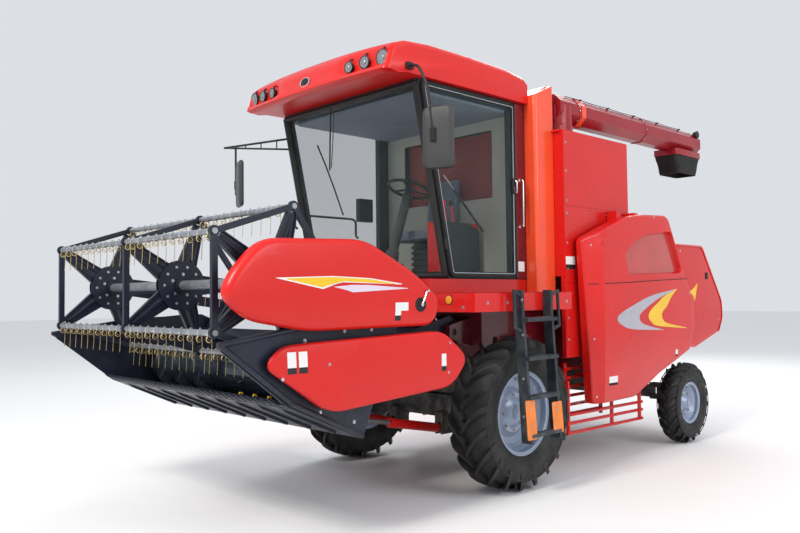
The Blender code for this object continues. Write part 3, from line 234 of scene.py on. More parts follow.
LENS = clear("lamp_lens", (0.30, 0.32, 0.34), 0.04, 0.18)


# --- mesh helpers
def rounded(points, radius, steps=5):
    """The outline with each corner turned into an arc-like bend."""
    made = []
    count = len(points)
    for i in range(count):
        here = Vector(points[i])
        before = Vector(points[i - 1])
        after = Vector(points[(i + 1) % count])
        reach = min(radius, (before - here).length * 0.48, (after - here).length * 0.48)
        a = here + (before - here).normalized() * reach
        b = here + (after - here).normalized() * reach
        for k in range(steps + 1):
            t = k / steps
            made.append(tuple(a * (1 - t) ** 2 + here * 2 * t * (1 - t) + b * t ** 2))
    return made


def spaced(points, gap):
    """The closed outline with extra points so that no side is longer than the gap."""
    made = []
    for a, b in zip(points, points[1:] + points[:1]):
        a, b = Vector(a), Vector(b)
        pieces = max(1, int((b - a).length / gap + 0.999))
        made += [tuple(a.lerp(b, k / pieces)) for k in range(pieces)]
    return made


def area(points):
    return sum(a[0] * b[1] - b[0] * a[1] for a, b in zip(points, points[1:] + points[:1])) / 2


def shrunk(points, by):
    """The outline moved inward, point by point along its own normals."""
    sign = 1 if area(points) > 0 else -1
    made = []
    count = len(points)
    for i in range(count):
        before, here, after = Vector(points[i - 1]), Vector(points[i]), Vector(points[(i + 1) % count])
        one, two = (here - before).normalized(), (after - here).normalized()
        way = (one + two).normalized() if (one + two).length > 1e-6 else one
        lean = max(0.5, way.dot(one))
        made.append(tuple(here + Vector((-way.y, way.x)) * sign * by / lean))
    return made


def middle(points):
    total = area(points)
    sums = [0.0, 0.0]
    for a, b in zip(points, points[1:] + points[:1]):
        cross = a[0] * b[1] - b[0] * a[1]
        sums[0] += (a[0] + b[0]) * cross
        sums[1] += (a[1] + b[1]) * cross
    return Vector((sums[0] / (6 * total), sums[1] / (6 * total)))


def share(points, centre, spot):
    """How far a spot lies from the centre, as a share of the way to the outline."""
    way = Vector(spot) - centre
    if way.length < 1e-6:
        return 0.0
    best = 0.0
    for a, b in zip(points, points[1:] + points[:1]):
        a, side = Vector(a) - centre, Vector(b) - Vector(a)
        cross = way.x * side.y - way.y * side.x
        if abs(cross) < 1e-9:
            continue
        t = (a.x * side.y - a.y * side.x) / cross
        u = (a.x * way.y - a.y * way.x) / cross
        if t > 0 and -1e-6 <= u <= 1 + 1e-6:
            best = max(best, 1 / t)
    return best


def inside(points, spot):
    hit = False
    for a, b in zip(points, points[1:] + points[:1]):
        if (a[1] > spot[1]) != (b[1] > spot[1]):
            if spot[0] < a[0] + (spot[1] - a[1]) * (b[0] - a[0]) / (b[1] - a[1]):
                hit = not hit
    return hit


AXES = {
    "X": lambda a, b, h: Vector((h, a, b)),
    "Y": lambda a, b, h: Vector((a, h, b)),
    "Z": lambda a, b, h: Vector((a, b, h)),
}


class Piece:
    """Shapes gathered into one mesh; paint is the material of what comes next."""

    def __init__(self, paint):
        self.work = bmesh.new()
        self.materials = []
        self.paint = paint

    def slot_of(self, paint):
        if paint not in self.materials:
            self.materials.append(paint)
        return self.materials.index(paint)

    def faces(self, points, faces):
        spots = [self.work.verts.new(p) for p in points]
        slot = self.slot_of(self.paint)
        for corners in faces:
            self.work.faces.new([spots[i] for i in corners]).material_index = slot

    def rings(self, rings, closed_ends=True, loop=False):
        """Faces between rings of equal length; loop joins the last ring to the first."""
        size = len(rings[0])
        points = [p for ring in rings for p in ring]
        faces = []
        steps = len(rings) if loop else len(rings) - 1
        for r in range(steps):
            s = (r + 1) % len(rings)
            for k in range(size):
                m = (k + 1) % size
                faces.append((r * size + k, r * size + m, s * size + m, s * size + k))
        if closed_ends and not loop:
            faces.append(tuple(reversed(range(size))))
            faces.append(tuple((len(rings) - 1) * size + k for k in range(size)))
        self.faces(points, faces)

    def box(self, low, high, turn=None):
        a, b = Vector(low), Vector(high)
        corners = [Vector((x, y, z)) for z in (a.z, b.z) for x, y in rectangle(a.x, a.y, b.x, b.y)]
        if turn:
            corners = [turn @ c for c in corners]
        self.rings([corners[:4], corners[4:]])

    def plate(self, axis, outline, low, high):
        put = AXES[axis]
        self.rings([[put(a, b, h) for a, b in outline] for h in (low, high)])

    def frame_plate(self, axis, outer, inner, low, high):
        """A flat ring between two outlines with equally many points."""
        put = AXES[axis]
        turns = ((outer, low), (outer, high), (inner, high), (inner, low))
        self.rings([[put(a, b, h) for a, b in outline] for outline, h in turns], loop=True)

    def tube(self, points, radius, sides=8, loop=False, squash=1.0):
        points = [Vector(p) for p in points]
        count = len(points)
        rings = []
        up = None
        for i in range(count):
            if loop:
                way = (points[(i + 1) % count] - points[i - 1]).normalized()
            else:
                way = (points[min(i + 1, count - 1)] - points[max(i - 1, 0)]).normalized()
            if up is None:
                up = way.orthogonal().normalized()
            up = (up - way * up.dot(way)).normalized()
            across = way.cross(up)
            size = radius[i] if isinstance(radius, (list, tuple)) else radius
            rings.append([points[i] + up * a + across * b for a, b in circle(sides, size, size * squash)])
        self.rings(rings, loop=loop)

    def lathe(self, profile, centre, axis="X", steps=48):
        """Turns (along, radius) points about an axis; a closed profile makes a ring."""
        put = AXES[axis]
        centre = Vector(centre)
        self.rings([[centre + put(r * u, r * v, along) for along, r in profile] for u, v in circle(steps, 1.0)],
                   loop=True)

    def disc(self, centre, way, radius, thick, sides=24, dome=0.0):
        """A round plate standing out along way, with an optional domed face."""
        way = Vector(way).normalized()
        centre = Vector(centre)
        points = [centre, centre + way * thick]
        radii = [radius, radius]
        for k in range(1, 4):
            if dome:
                points.append(centre + way * (thick + dome * (1 - (1 - k / 4) ** 2)))
                radii.append(radius * (1 - k / 4))
        side = way.orthogonal().normalized()
        other = way.cross(side)
        self.rings([[p + side * a + other * b for a, b in circle(sides, r)] for p, r in zip(points, radii)])

    def bolt(self, centre, way, size, high):
        """A hexagon head on its washer."""
        self.disc(centre, way, size * 1.5, high * 0.25, 14)
        self.disc(Vector(centre) + Vector(way).normalized() * high * 0.2, way, size, high, 6)

    def bolts(self, spots, way, size, high):
        for spot in spots:
            self.bolt(spot, way, size, high)

    def moulded(self, rim, inner, outer, bend, crown, relief=None, sign=1, lines=(), grid=0.05):
        """A panel with a rounded rim and a slightly crowned face, whose mesh follows the given lines.
        Returns the height of its face at (back, z)."""
        edge = shrunk(rim, bend)
        centre = middle(edge)

        def face_at(spot):
            s = min(1.0, share(edge, centre, spot))
            lift = relief(*spot) if relief else 0.0
            return outer - crown * s * s + lift

        layers = [[(p, inner) for p in rim]]
        for k in range(6):
            t = k / 5 * pi / 2
            ring = shrunk(rim, bend * (1 - cos(t))) if k else rim
            layers.append([(p, face_at(q) - bend + bend * sin(t)) for p, q in zip(ring, edge)])
        loops = [[Vector((sign * x, p[0] + AXLE_Y, p[1])) for p, x in layer] for layer in layers]
        self.rings(loops, closed_ends=False)
        back = self.work.faces.new([self.work.verts.new(p) for p in reversed(loops[0])])
        back.material_index = self.slot_of(self.paint)
        size = len(edge)
        spots = [Vector(p) for p in edge]
        joins = [(k, (k + 1) % size) for k in range(size)]
        for points, closed in lines:
            start = len(spots)
            spots += [Vector(p) for p in points]
            joins += [(start + k, start + k + 1) for k in range(len(points) - 1)]
            if closed:
                joins.append((len(spots) - 1, start))
        kept = list(spots)
        low = Vector((min(p.x for p in spots), min(p.y for p in spots)))
        high = Vector((max(p.x for p in spots), max(p.y for p in spots)))
        rows = int((high.y - low.y) / grid)
        for row in range(1, rows + 1):
            for column in range(1, int((high.x - low.x) / grid) + 1):
                spot = low + Vector((grid * (column + 0.5 * (row % 2)), grid * 0.9 * row))
                if inside(edge, spot) and min((spot - p).length for p in kept) > grid * 0.55:
                    spots.append(spot)
        found, _, faces, _, _, _ = delaunay_2d_cdt(spots, joins, [list(range(size))], 1, 1e-6)
        self.faces([Vector((sign * face_at(tuple(p)), p.x + AXLE_Y, p.y)) for p in found], faces)
        return face_at

    def film(self, upper, lower, height, across=3, lift=LIFT, sign=1):
        """A thin stripe between two lines of (back, z) points, lying on a panel's face."""
        count = len(upper)
        grid = []
        for i in range(count):
            for k in range(across + 1):
                p = Vector(upper[i]).lerp(Vector(lower[i]), k / across)
                grid.append(Vector((sign * (height(tuple(p)) + lift), p.x + AXLE_Y, p.y)))
        faces = []
        for i in range(count - 1):
            for k in range(across):
                a = i * (across + 1) + k
                faces.append((a, a + 1, a + across + 2, a + across + 1))
        self.faces(grid, faces)

    def placed(self, name):
        """The mesh as an object in the scene."""
        mesh = bpy.data.meshes.new(name)
        self.work.to_mesh(mesh)
        self.work.free()
        for item in self.materials:
            mesh.materials.append(item)
        obj = bpy.data.objects.new(name, mesh)
        bpy.context.scene.collection.objects.link(obj)
        return obj

    def done(self, name, body, slot, replaces=(), angle=35, bevel=0.0):
        """Cleans and places the mesh, rides it on its body and hides the CAD nodes it replaces; its slot argument
        is not used.
        """
        bmesh.ops.remove_doubles(self.work, verts=self.work.verts, dist=0.00002)
        bmesh.ops.dissolve_degenerate(self.work, edges=self.work.edges, dist=0.000005)
        bmesh.ops.recalc_face_normals(self.work, faces=self.work.faces)
        obj = self.placed(name)
        if bevel:
            add_bevel(obj, bevel)
        smooth(obj, angle)
        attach(obj, body)
        if replaces:
            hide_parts(*replaces)
        return obj


def add_bevel(obj, width, angle=30):
    soften = obj.modifiers.new("edges", "BEVEL")
    soften.width = width
    soften.segments = 2
    soften.limit_method = "ANGLE"
    soften.angle_limit = radians(angle)
    soften.harden_normals = False


def smooth(obj, angle=35):
    """Smooth shading that keeps edges sharper than the angle."""
    work = bmesh.new()
    work.from_mesh(obj.data)
    for face in work.faces:
        face.smooth = True
    for edge in work.edges:
        if len(edge.link_faces) == 2 and edge.calc_face_angle(0) > radians(angle):
            edge.smooth = False
    work.to_mesh(obj.data)
    work.free()


def line(points, count):
    """A smooth line through the given points, as count points."""
    points = [Vector(p) for p in points]
    made = []
    spans = len(points) - 1
    for i in range(count):
        t = i / (count - 1) * spans
        k = min(int(t), spans - 1)
        u = t - k
        p0, p1, p2, p3 = points[max(k - 1, 0)], points[k], points[k + 1], points[min(k + 2, spans)]
        bend = (2 * p0 - 5 * p1 + 4 * p2 - p3) * u ** 2 + (3 * p1 - p0 - 3 * p2 + p3) * u ** 3
        made.append(0.5 * (2 * p1 + (p2 - p0) * u + bend))
    return made


def around(points, radius, steps=4):
    """An open line of 3-D points with its corners bent."""
    points = [Vector(p) for p in points]
    made = [points[0]]
    for before, here, after in zip(points, points[1:], points[2:]):
        reach = min(radius, (before - here).length * 0.45, (after - here).length * 0.45)
        a = here + (before - here).normalized() * reach
        b = here + (after - here).normalized() * reach
        for k in range(steps + 1):
            t = k / steps
            made.append(a * (1 - t) ** 2 + here * 2 * t * (1 - t) + b * t ** 2)
    made.append(points[-1])
    return made


# --- carried CAD nodes
FINISH = {
    "chassis_frame": CHASSIS, "front_axle": CHASSIS, "rear_axle_beam": CHASSIS, "threshing_body": MAROON,
    "engine_block": CHASSIS, "radiator_screen": BLACK, "grain_tank": RED, "lower_guard_left": RED,
    "lower_guard_right": RED, "slat_grille": RED, "platform": RED, "ladder": LADDER_GREY, "cab_frame": BLACK,
    "windshield": GLASS, "right_window": GLASS, "rear_window": GLASS, "lever_console": RED,
    "unloading_base": CRIMSON, "steering_knuckle_left": CHASSIS, "steering_knuckle_right": CHASSIS,
    "tie_rod": STEEL, "feeder_house": NAVY, "header_trough": NAVY, "knife_bar": STEEL, "header_auger": AUGER_BLUE,
    "reel_arms": NAVY, "lift_cylinder_left": RED, "lift_cylinder_right": RED, "lift_rod_left": STEEL,
    "lift_rod_right": STEEL, "steering_wheel": BLACK, "steering_column": GREY_PLASTIC,
}
for name, finish in FINISH.items():
    carried = frame["nodes"][name]
    carried.data.materials.clear()
    carried.data.materials.append(finish)
SOFT_EDGES = {
    "platform": 0.008, "grain_tank": 0.010, "chassis_frame": 0.006, "front_axle": 0.008, "cab_frame": 0.006,
    "feeder_house": 0.006, "ladder": 0.0025, "lever_console": 0.006, "threshing_body": 0.008,
    "header_trough": 0.002, "slat_grille": 0.003, "rear_axle_beam": 0.006, "reel_arms": 0.004,
}
for name, width in SOFT_EDGES.items():
    add_bevel(frame["nodes"][name], width, 40)


# --- wheels
def tyre(side, end, width, outer, bead, lug_count, lug_high, lug_wide):
    """A bar-lug drive tyre: a rounded carcass with slanted lugs from the middle to each shoulder."""
    node = f"{end}_tyre_{side}"
    low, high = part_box(node)
    centre = (low + high) / 2
    half = width / 2
    crown = outer - lug_high

    def tread_radius(x):
        return crown - 0.055 * abs(x / half) ** 2.6

    def wall_x(t):
        """Half the width at share t of the way up the side wall."""
        return half * (0.66 + 0.335 * sin(pi * min(1.0, t * 1.15) * 0.62))

    carcass = Piece(RUBBER)
    wall = [(wall_x(k / 8), bead + (tread_radius(half) - bead) * k / 8) for k in range(9)]
    tread = [half * (-0.92 + 0.23 * k) for k in range(9)]
    profile = [(-x, r) for x, r in wall] + [(x, tread_radius(x)) for x in tread] + wall[::-1]
    carcass.lathe(profile, centre, steps=72)
    for hand in (-1, 1):
        # bead rings and one fine rib on the side wall
        for t, thick in ((0.10, 0.007), (0.42, 0.003), (0.80, 0.005)):
            r, x, rise = bead + (crown - bead) * t, wall_x(t), thick * 1.6
            ring = [(x, r - rise), (x + thick, r), (x, r + rise), (x - 0.004, r)]
            carcass.lathe([(hand * a, b) for a, b in ring], centre, steps=64)
        for i in range(lug_count):
            start = 2 * pi * (i + (0.5 if hand > 0 else 0.0)) / lug_count
            rings = []
            for t in [k / 8 for k in range(9)]:
                x = hand * half * min(1.005, -0.05 + 1.12 * t)
                drop = max(0.0, (t - 0.86) / 0.14)
                base = tread_radius(x) - 0.012 - drop * 0.050
                top = outer - 0.050 * abs(x / half) ** 5 - drop * 0.062
                foot, head = lug_wide * (0.85 + 0.25 * t), lug_wide * (0.50 + 0.18 * t)
                ring = []
                for r, w in ((base, -foot), (top, -head), (top, head), (base, foot)):
                    a = start - 0.36 * t ** 0.9 + w / 2 / r
                    ring.append(centre + Vector((x, r * cos(a), r * sin(a))))
                rings.append(ring)
            carcass.rings(rings)
    carcass.done(f"{end}_lug_tyre_{side}", f"{end}_wheel_{side}", "tyre", (node,), angle=40)


def rim(side, end, sign, width, bead, hub, bolts):
    """A pressed disc wheel: flanges, drop centre, dished disc, hub with studs, valve."""
    node = f"{end}_rim_{side}"
    low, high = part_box(node)
    centre = (low + high) / 2
    half = width / 2 * 0.66
    wheel = Piece(RIM)
    flange = bead + 0.016
    outside = [(-half - 0.010, flange), (-half - 0.004, flange - 0.004), (-half, bead - 0.004),
               (-half * 0.72, bead - 0.008), (-half * 0.55, bead - 0.034), (half * 0.30, bead - 0.034),
               (half * 0.55, bead - 0.010), (half, bead - 0.004), (half + 0.004, flange - 0.004),
               (half + 0.010, flange)]
    within = [(x, r - (0.006 if abs(x) < half else 0.012)) for x, r in reversed(outside)]
    wheel.lathe([(sign * x, r) for x, r in outside + within], centre, steps=72)
    seat = bead - 0.040
    dish = [(0.030, seat), (0.000, seat - 0.030), (-0.012, seat * 0.72), (0.006, seat * 0.60),
            (0.022, hub + 0.045), (0.024, hub + 0.012), (0.050, hub * 0.82), (0.062, hub * 0.62), (0.064, 0.001)]
    behind = [(x - 0.010, r) for x, r in reversed(dish)]
    wheel.lathe([(sign * x, r) for x, r in dish + behind], centre, steps=64)
    wheel.paint = ZINC
    for u, v in circle(bolts, hub + 0.026):
        spot = centre + Vector((sign * 0.022, u, v))
        wheel.bolt(spot, (sign, 0, 0), 0.013, 0.016)
        wheel.tube([spot, spot + Vector((sign * 0.028, 0, 0))], 0.006, 8)
    wheel.paint = BLACK
    # the dish's four holes, drawn as flat black discs: painted shade
    for u, v in circle(4, seat * 0.80, turn=pi / 4):
        wheel.disc(centre + Vector((sign * -0.009, u, v)), (sign, 0, 0), 0.020, 0.003, 20)
    valve = (0, 0, seat + 0.004), (sign * 0.045, 0, seat - 0.014)
    wheel.tube([centre + Vector(p) for p in valve], 0.006, 8)
    wheel.paint = RIM
    wheel.disc(centre + Vector((sign * 0.055, 0, 0)), (sign, 0, 0), hub * 0.50, 0.014, 32, dome=0.008)
    wheel.done(f"{end}_disc_wheel_{side}", f"{end}_wheel_{side}", "rim_grey", (node,), angle=32)


for side, sign in SIDES:
    tyre(side, "front", width=0.380, outer=0.6372, bead=0.335, lug_count=20, lug_high=0.045, lug_wide=0.056)
    rim(side, "front", sign, width=0.380, bead=0.335, hub=0.120, bolts=8)
    tyre(side, "rear", width=0.230, outer=0.4297, bead=0.212, lug_count=19, lug_high=0.028, lug_wide=0.032)
    rim(side, "rear", sign, width=0.230, bead=0.212, hub=0.075, bolts=6)


# --- reel
REEL = joint_at("reel_spin")
BARS = [joint_at(f"tine_bar_{k}_level") for k in range(1, 6)]
STAR_X = (-1.195, 0.0, 1.195)


def reel_star(x):
    """Five tapered arms, the struts between their tips, the bars' bearings and the hub plates."""
    star = Piece(NAVY)
    centre = Vector((x, REEL.y, REEL.z))

    def slab(outline, half):
        """Thickens an outline that lies in the star's plane to both sides."""
        out = Vector((half, 0, 0))
        star.rings([[p - out for p in outline], [p + out for p in outline]])

    for k, tip in enumerate(BARS):
        way = Vector((0, tip.y - REEL.y, tip.z - REEL.z)).normalized()
        side = Vector((0, -way.z, way.y))
        web = ((0.10, 0.078), (0.30, 0.052), (0.478, 0.034))
        half_web = [centre + way * r + side * w for r, w in web]
        slab(half_web + [centre + way * r - side * w for r, w in web[::-1]], 0.004)
        for hand in (-1, 1):
            foot = centre + way * 0.12 + side * hand * 0.075
            end = centre + way * 0.478 + side * hand * 0.034
            run = (end - foot).normalized()
            thick = Vector((0, -run.z, run.y)) * 0.004
            slab([foot - thick, foot + thick, end + thick, end - thick], 0.016)
        ridge = ((-1, -0.004), (-0.3, -0.013), (0.3, -0.013), (1, -0.004),
                 (1, 0.004), (0.3, 0.013), (-0.3, 0.013), (-1, 0.004))
        star.rings([[centre + way * r + side * s * w + Vector((u, 0, 0)) for w, u in ridge]
                    for r, s in ((0.14, 0.030), (0.46, 0.012))])
        # square strut from this tip to the next
        a, b = (Vector((x, bar.y, bar.z)) for bar in (tip, BARS[(k + 1) % 5]))
        run = (b - a).normalized()
        a, b, flat = a + run * 0.012, b - run * 0.012, Vector((0, -run.z, run.y)) * 0.020
        slab([a - flat, a + flat, b + flat, b - flat], 0.014)
        bearing = [(-0.010, 0.036), (0.010, 0.036), (0.010, 0.0208), (-0.010, 0.0208)]
        star.lathe(bearing, (x, tip.y, tip.z), steps=16)
    for hand in (-1, 1):
        star.paint = NAVY
        star.disc(centre + Vector((hand * 0.016, 0, 0)), (hand, 0, 0), 0.186, 0.005, 40)
        star.disc(centre + Vector((hand * 0.020, 0, 0)), (hand, 0, 0), 0.058, 0.018, 28)
        star.paint = ZINC
        for count, radius, turn, size, high in ((10, 0.140, 0.0, 0.007, 0.005), (5, 0.082, 0.2, 0.008, 0.006)):
            star.bolts([centre + Vector((hand * 0.021, u, v)) for u, v in circle(count, radius, turn=turn)],
                       (hand, 0, 0), size, high)
    return star


for number, x in enumerate(STAR_X, 1):
    reel_star(x).done(f"reel_star_{number}", "reel_rotor", "navy", ("reel",) if number == 1 else (), angle=30)
shaft = Piece(GALVANISED)
for low, high in ((-1.172, -0.022), (0.022, 1.172)):
    shaft.lathe([(low, 0.026), (low, 0.034), (high, 0.034), (high, 0.026)], REEL, steps=28)
shaft.lathe([(-1.262, 0.0005), (-1.262, 0.0268), (1.262, 0.0268), (1.262, 0.0005)], REEL, steps=24)
shaft.done("reel_shaft", "reel_rotor", "grey", angle=30)


def tine(piece, x, bar):
    """A spring tine: a leg from the bar, a double coil under it and a long straight finger."""
    coil = bar + Vector((x, -0.006, -0.0385))
    run = [bar + Vector((x - 0.006, -0.006, -0.018))]
    for t in [k / 28 for k in range(29)]:
        a = pi * 0.5 + 2 * pi * 2.2 * t
        run.append(coil + Vector((0.0105 * (t - 0.5), 0.0185 * cos(a), 0.0185 * sin(a))))
    bend = run[-1].z - 0.020 - bar.z
    run += [bar + Vector((x + 0.006, y, z)) for y, z in ((0.010, bend), (0.008, -0.115), (0.004, -0.168))]
    piece.tube(run, 0.0024, 5)


TINES = [-1.15 + 2.30 * i / 20 for i in range(21)]
TINES[10] += 0.045  # clear of the middle star
for k, bar in enumerate(BARS, 1):
    comb = Piece(GALVANISED)
    pipe = [(1.212, 0.0005), (1.212, 0.0185), (1.208, 0.0195)]
    comb.lathe([(-x, r) for x, r in pipe] + pipe[::-1], bar, steps=20)
    for x in TINES:
        comb.paint = BRASS
        tine(comb, x, bar)
        comb.paint = ZINC
        clip = [(x - 0.010, 0.0197), (x - 0.010, 0.0220), (x + 0.010, 0.0220), (x + 0.010, 0.0197)]
        comb.lathe(clip, bar, steps=14)
        comb.bolt(bar + Vector((x, 0, 0.0205)), (0, 0, 1), 0.006, 0.007)
    comb.done(f"tine_comb_{k}", f"tine_bar_body_{k}", "grey", (f"tine_bar_{k}",), angle=30)


# --- header
HEADER_UP = header_at(0, 0, 1) - header_at(0, 0, 0)
HEADER_AHEAD = header_at(0, -1, 0) - header_at(0, 0, 0)
WALL_BOLTS = ((-2.30, -1.085), (-2.10, -1.00), (-1.90, -0.80), (-1.62, -0.62), (-1.40, -0.52), (-1.30, -1.15),
              (-1.60, -1.18))
extras = Piece(NAVY)
for i in range(9):  # ribs under the pan
    x = -1.12 + 2.24 * i / 8
    rib = ((-1.80, -1.233), (-1.30, -1.233), (-1.30, -1.252), (-1.74, -1.246))
    extras.rings([[header_at(x + side, a, b) for a, b in rib] for side in (-0.020, 0.020)])
extras.paint = ZINC
extras.bolts([header_at(-1.20 + 2.40 * i / 37, -1.815, -1.219) for i in range(38)], HEADER_UP, 0.007, 0.006)
for sign in (-1, 1):
    extras.bolts([header_at(sign * 1.2862, y, z) for y, z in WALL_BOLTS], (sign, 0, 0), 0.009, 0.006)
extras.paint = KNOB_YELLOW
for x in (1.06, 0.89, 0.72):
    foot = header_at(x, -1.83, -1.216)
    bends = ((0, 0), (0.020, 0.004), (0.034, 0.020), (0.030, 0.040))
    extras.tube([foot + HEADER_UP * up + HEADER_AHEAD * ahead for up, ahead in bends], 0.008, 8)
extras.done("header_fittings", "header", "navy", angle=35)

KNIFE = header_at(0, -1.861, -1.218)
along = Matrix.Translation(KNIFE) @ Matrix.Rotation(TILT, 4, "X")
knife = Piece(NAVY)
GUARD_RING = ((-1, -0.6), (-0.5, -1), (0.5, -1), (1, -0.6), (1, 0.3), (0.4, 0.9), (-0.4, 0.9), (-1, 0.3))
GUARD_STEPS = ((-0.002, 0.020, 0.016), (-0.040, 0.016, 0.015), (-0.085, 0.009, 0.010), (-0.108, 0.003, 0.004))
for i in range(32):  # pointed guards with lips above the sections
    x = -1.20 + 2.40 * i / 31
    knife.rings([[along @ Vector((x + u * half, back, v * up)) for u, v in GUARD_RING]
                 for back, half, up in GUARD_STEPS])
knife.box((-1.268, -0.028, -0.011), (1.268, 0.030, 0.011), along)
knife.paint = STEEL
for i in range(31):
    x = -1.20 + 2.40 * (i + 0.5) / 31
    blade = ((x - 0.036, 0.0), (x + 0.036, 0.0), (x + 0.009, -0.078), (x - 0.009, -0.078))
    knife.rings([[along @ Vector((a, b, z)) for a, b in blade] for z in (0.002, 0.005)])
knife.done("cutter_bar", "header", "steel", ("knife_bar",), angle=30)


# --- films and labels on moulded panels
def evenly(points, count):
    """Points at equal shares of each straight span, so that corners stay sharp."""
    each = count // (len(points) - 1)
    made = [tuple(Vector(a).lerp(Vector(b), k / each)) for a, b in zip(points, points[1:]) for k in range(each)]
    return made + [tuple(points[-1])]


def patch(piece, paint, face, backs, heights, sign=1, across=1, lift=LIFT):
    """A rectangle of film, given by its two ends and its upper and lower height."""
    piece.paint = paint
    upper, lower = ([(back, z) for back in backs] for z in heights)
    piece.film(upper, lower, face, across, lift, sign)


def sticker(piece, face, back, z, wide, high, dark, sign=1):
    """A blank label: a pale field with a dark foot, no lettering."""
    ends = (back, back + wide)
    patch(piece, WHITE, face, ends, (z + high / 2, z - high / 2), sign, 2)
    patch(piece, dark, face, ends, (z - high * 0.22, z - high / 2), sign, 1, LIFT + 0.0005)


def face_bolts(piece, face, spots, sign=1):
    """Small screws on a moulded panel, at (back, z)."""
    piece.bolts([at(sign * (face(spot) - 0.001), *spot) for spot in spots], (sign, 0, 0), 0.008, 0.004)


# --- header drive covers
COVER_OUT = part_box("reel_drive_cover")[1].x
COVER_IN = COVER_OUT - 0.0885
UPPER = [(-2.870, 1.640), (-2.800, 1.780), (-2.600, 1.985), (-1.770, 2.010), (-1.300, 1.790), (-1.040, 1.600),
         (-1.110, 1.405), (-2.250, 1.405), (-2.700, 1.490)]
LOWER = [(-2.560, 1.200), (-2.440, 1.320), (-2.200, 1.335), (-1.030, 1.365), (-0.760, 1.150), (-0.940, 0.950),
         (-2.080, 0.875)]
upper = Piece(MOULDED)
upper_face = upper.moulded(spaced(rounded(UPPER, 0.13, 6), 0.06), COVER_IN, COVER_OUT, 0.052, 0.014)
# each stripe's material, extra lift, upper line and lower line
STRIPES = (
    (WHITE, 0.0, [(-2.520, 1.742), (-2.080, 1.756), (-1.760, 1.744), (-1.465, 1.709)],
     [(-2.520, 1.740), (-2.165, 1.672), (-2.020, 1.716), (-1.465, 1.703)]),
    (YELLOW, 0.0006, [(-2.440, 1.738), (-2.080, 1.749), (-1.760, 1.737), (-1.530, 1.709)],
     [(-2.440, 1.733), (-2.168, 1.683), (-2.020, 1.724), (-1.530, 1.705)]),
    (LILAC, 0.0, [(-2.075, 1.687), (-1.930, 1.699), (-1.780, 1.699), (-1.405, 1.678)],
     [(-2.075, 1.685), (-1.985, 1.668), (-1.915, 1.650), (-1.405, 1.674)]),
)
for paint, more, top, bottom in STRIPES:
    upper.paint = paint
    upper.film(evenly(top, 40), evenly(bottom, 40), upper_face, lift=LIFT + more)
sticker(upper, upper_face, -1.53, 1.515, 0.055, 0.125, BLACK)
patch(upper, WHITE, upper_face, (-1.475, -1.405), (1.578, 1.520))
# crank hole with its crank; a near-black disc inside it is painted shade
hole = at(upper_face((-1.281, 1.560)), -1.281, 1.560)


def by_hole(out, along_y=0.0, up=0.0):
    return hole + Vector((out, along_y, up))


upper.paint = BLACK
upper.lathe([(-0.0010, 0.052), (0.0045, 0.052), (0.0045, 0.046), (-0.0010, 0.046)], hole, steps=32)
# painted shade: a near-black disc fills the hole
upper.paint = DARK_PRINT_AND_SHADE
upper.disc(by_hole(0.0004), (1, 0, 0), 0.047, 0.001, 32)
upper.paint = CHROME
upper.disc(by_hole(0.001, 0.01), (1, 0, 0), 0.014, 0.012, 16)
crank_end = by_hole(0.012, 0.055, 0.092)
upper.tube([by_hole(0.008, 0.01), by_hole(0.012, 0.030, 0.035), crank_end], 0.006, 8)
upper.tube([crank_end, by_hole(0.012, 0.078, 0.100)], 0.009, 8)
upper.done("reel_drive_shell", "reel_frame", "red_plastic", ("reel_drive_cover",), angle=50)

lower = Piece(MOULDED)
FOLD_TOP, FOLD_LOW = Vector((-1.850, 1.345)), Vector((-2.075, 0.875))
fold_way = (FOLD_TOP - FOLD_LOW).normalized()
fold = [tuple(FOLD_LOW.lerp(FOLD_TOP, 0.075 + 0.85 * k / 10)) for k in range(11)]


def lower_relief(back, z):
    """Ahead of the fold the face turns inward."""
    ahead = (Vector((back, z)) - FOLD_LOW).dot(Vector((-fold_way.y, fold_way.x)))
    return -0.105 * max(0.0, ahead)


lower_face = lower.moulded(spaced(rounded(LOWER, 0.11, 6), 0.045), COVER_IN, COVER_OUT, 0.028, 0.006,
                           relief=lower_relief, lines=[(fold, False)])
LABELS = ((-2.405, 1.215, 0.062, 0.135), (-2.325, 1.215, 0.062, 0.135), (-1.075, 1.135, 0.050, 0.125))
for label in LABELS:
    sticker(lower, lower_face, *label, BLACK)
lower.paint = ZINC
face_bolts(lower, lower_face, ((-2.44, 1.12), (-2.10, 1.19), (-0.98, 1.27), (-1.00, 1.06)))
lower.done("header_drive_shell", "header", "red_plastic", ("header_drive_cover",), angle=6)
block = Piece(NAVY)
block.box(at(1.287, -1.85, 1.0), at(1.338, -1.62, 1.2))
block.done("drive_cover_bracket", "header", "navy", bevel=0.004)

# --- side hoods
HOOD = [(1.000, 2.135), (1.680, 2.380), (2.010, 2.420), (2.460, 2.440), (2.530, 2.400), (2.840, 1.850),
        (3.060, 1.550), (3.070, 1.250), (2.960, 1.000), (2.300, 0.800), (1.800, 0.600), (1.100, 0.590)]
HOOD_OUT = 1.16
FRONT_FOLD = 1.215  # the hood's face folds back ahead of this line
RECESS = spaced(rounded([(1.590, 2.010), (1.800, 2.140), (2.060, 2.225), (2.560, 2.275), (2.740, 1.960),
                         (2.790, 1.860), (2.700, 1.830), (1.660, 1.800)], 0.05, 4), 0.05)
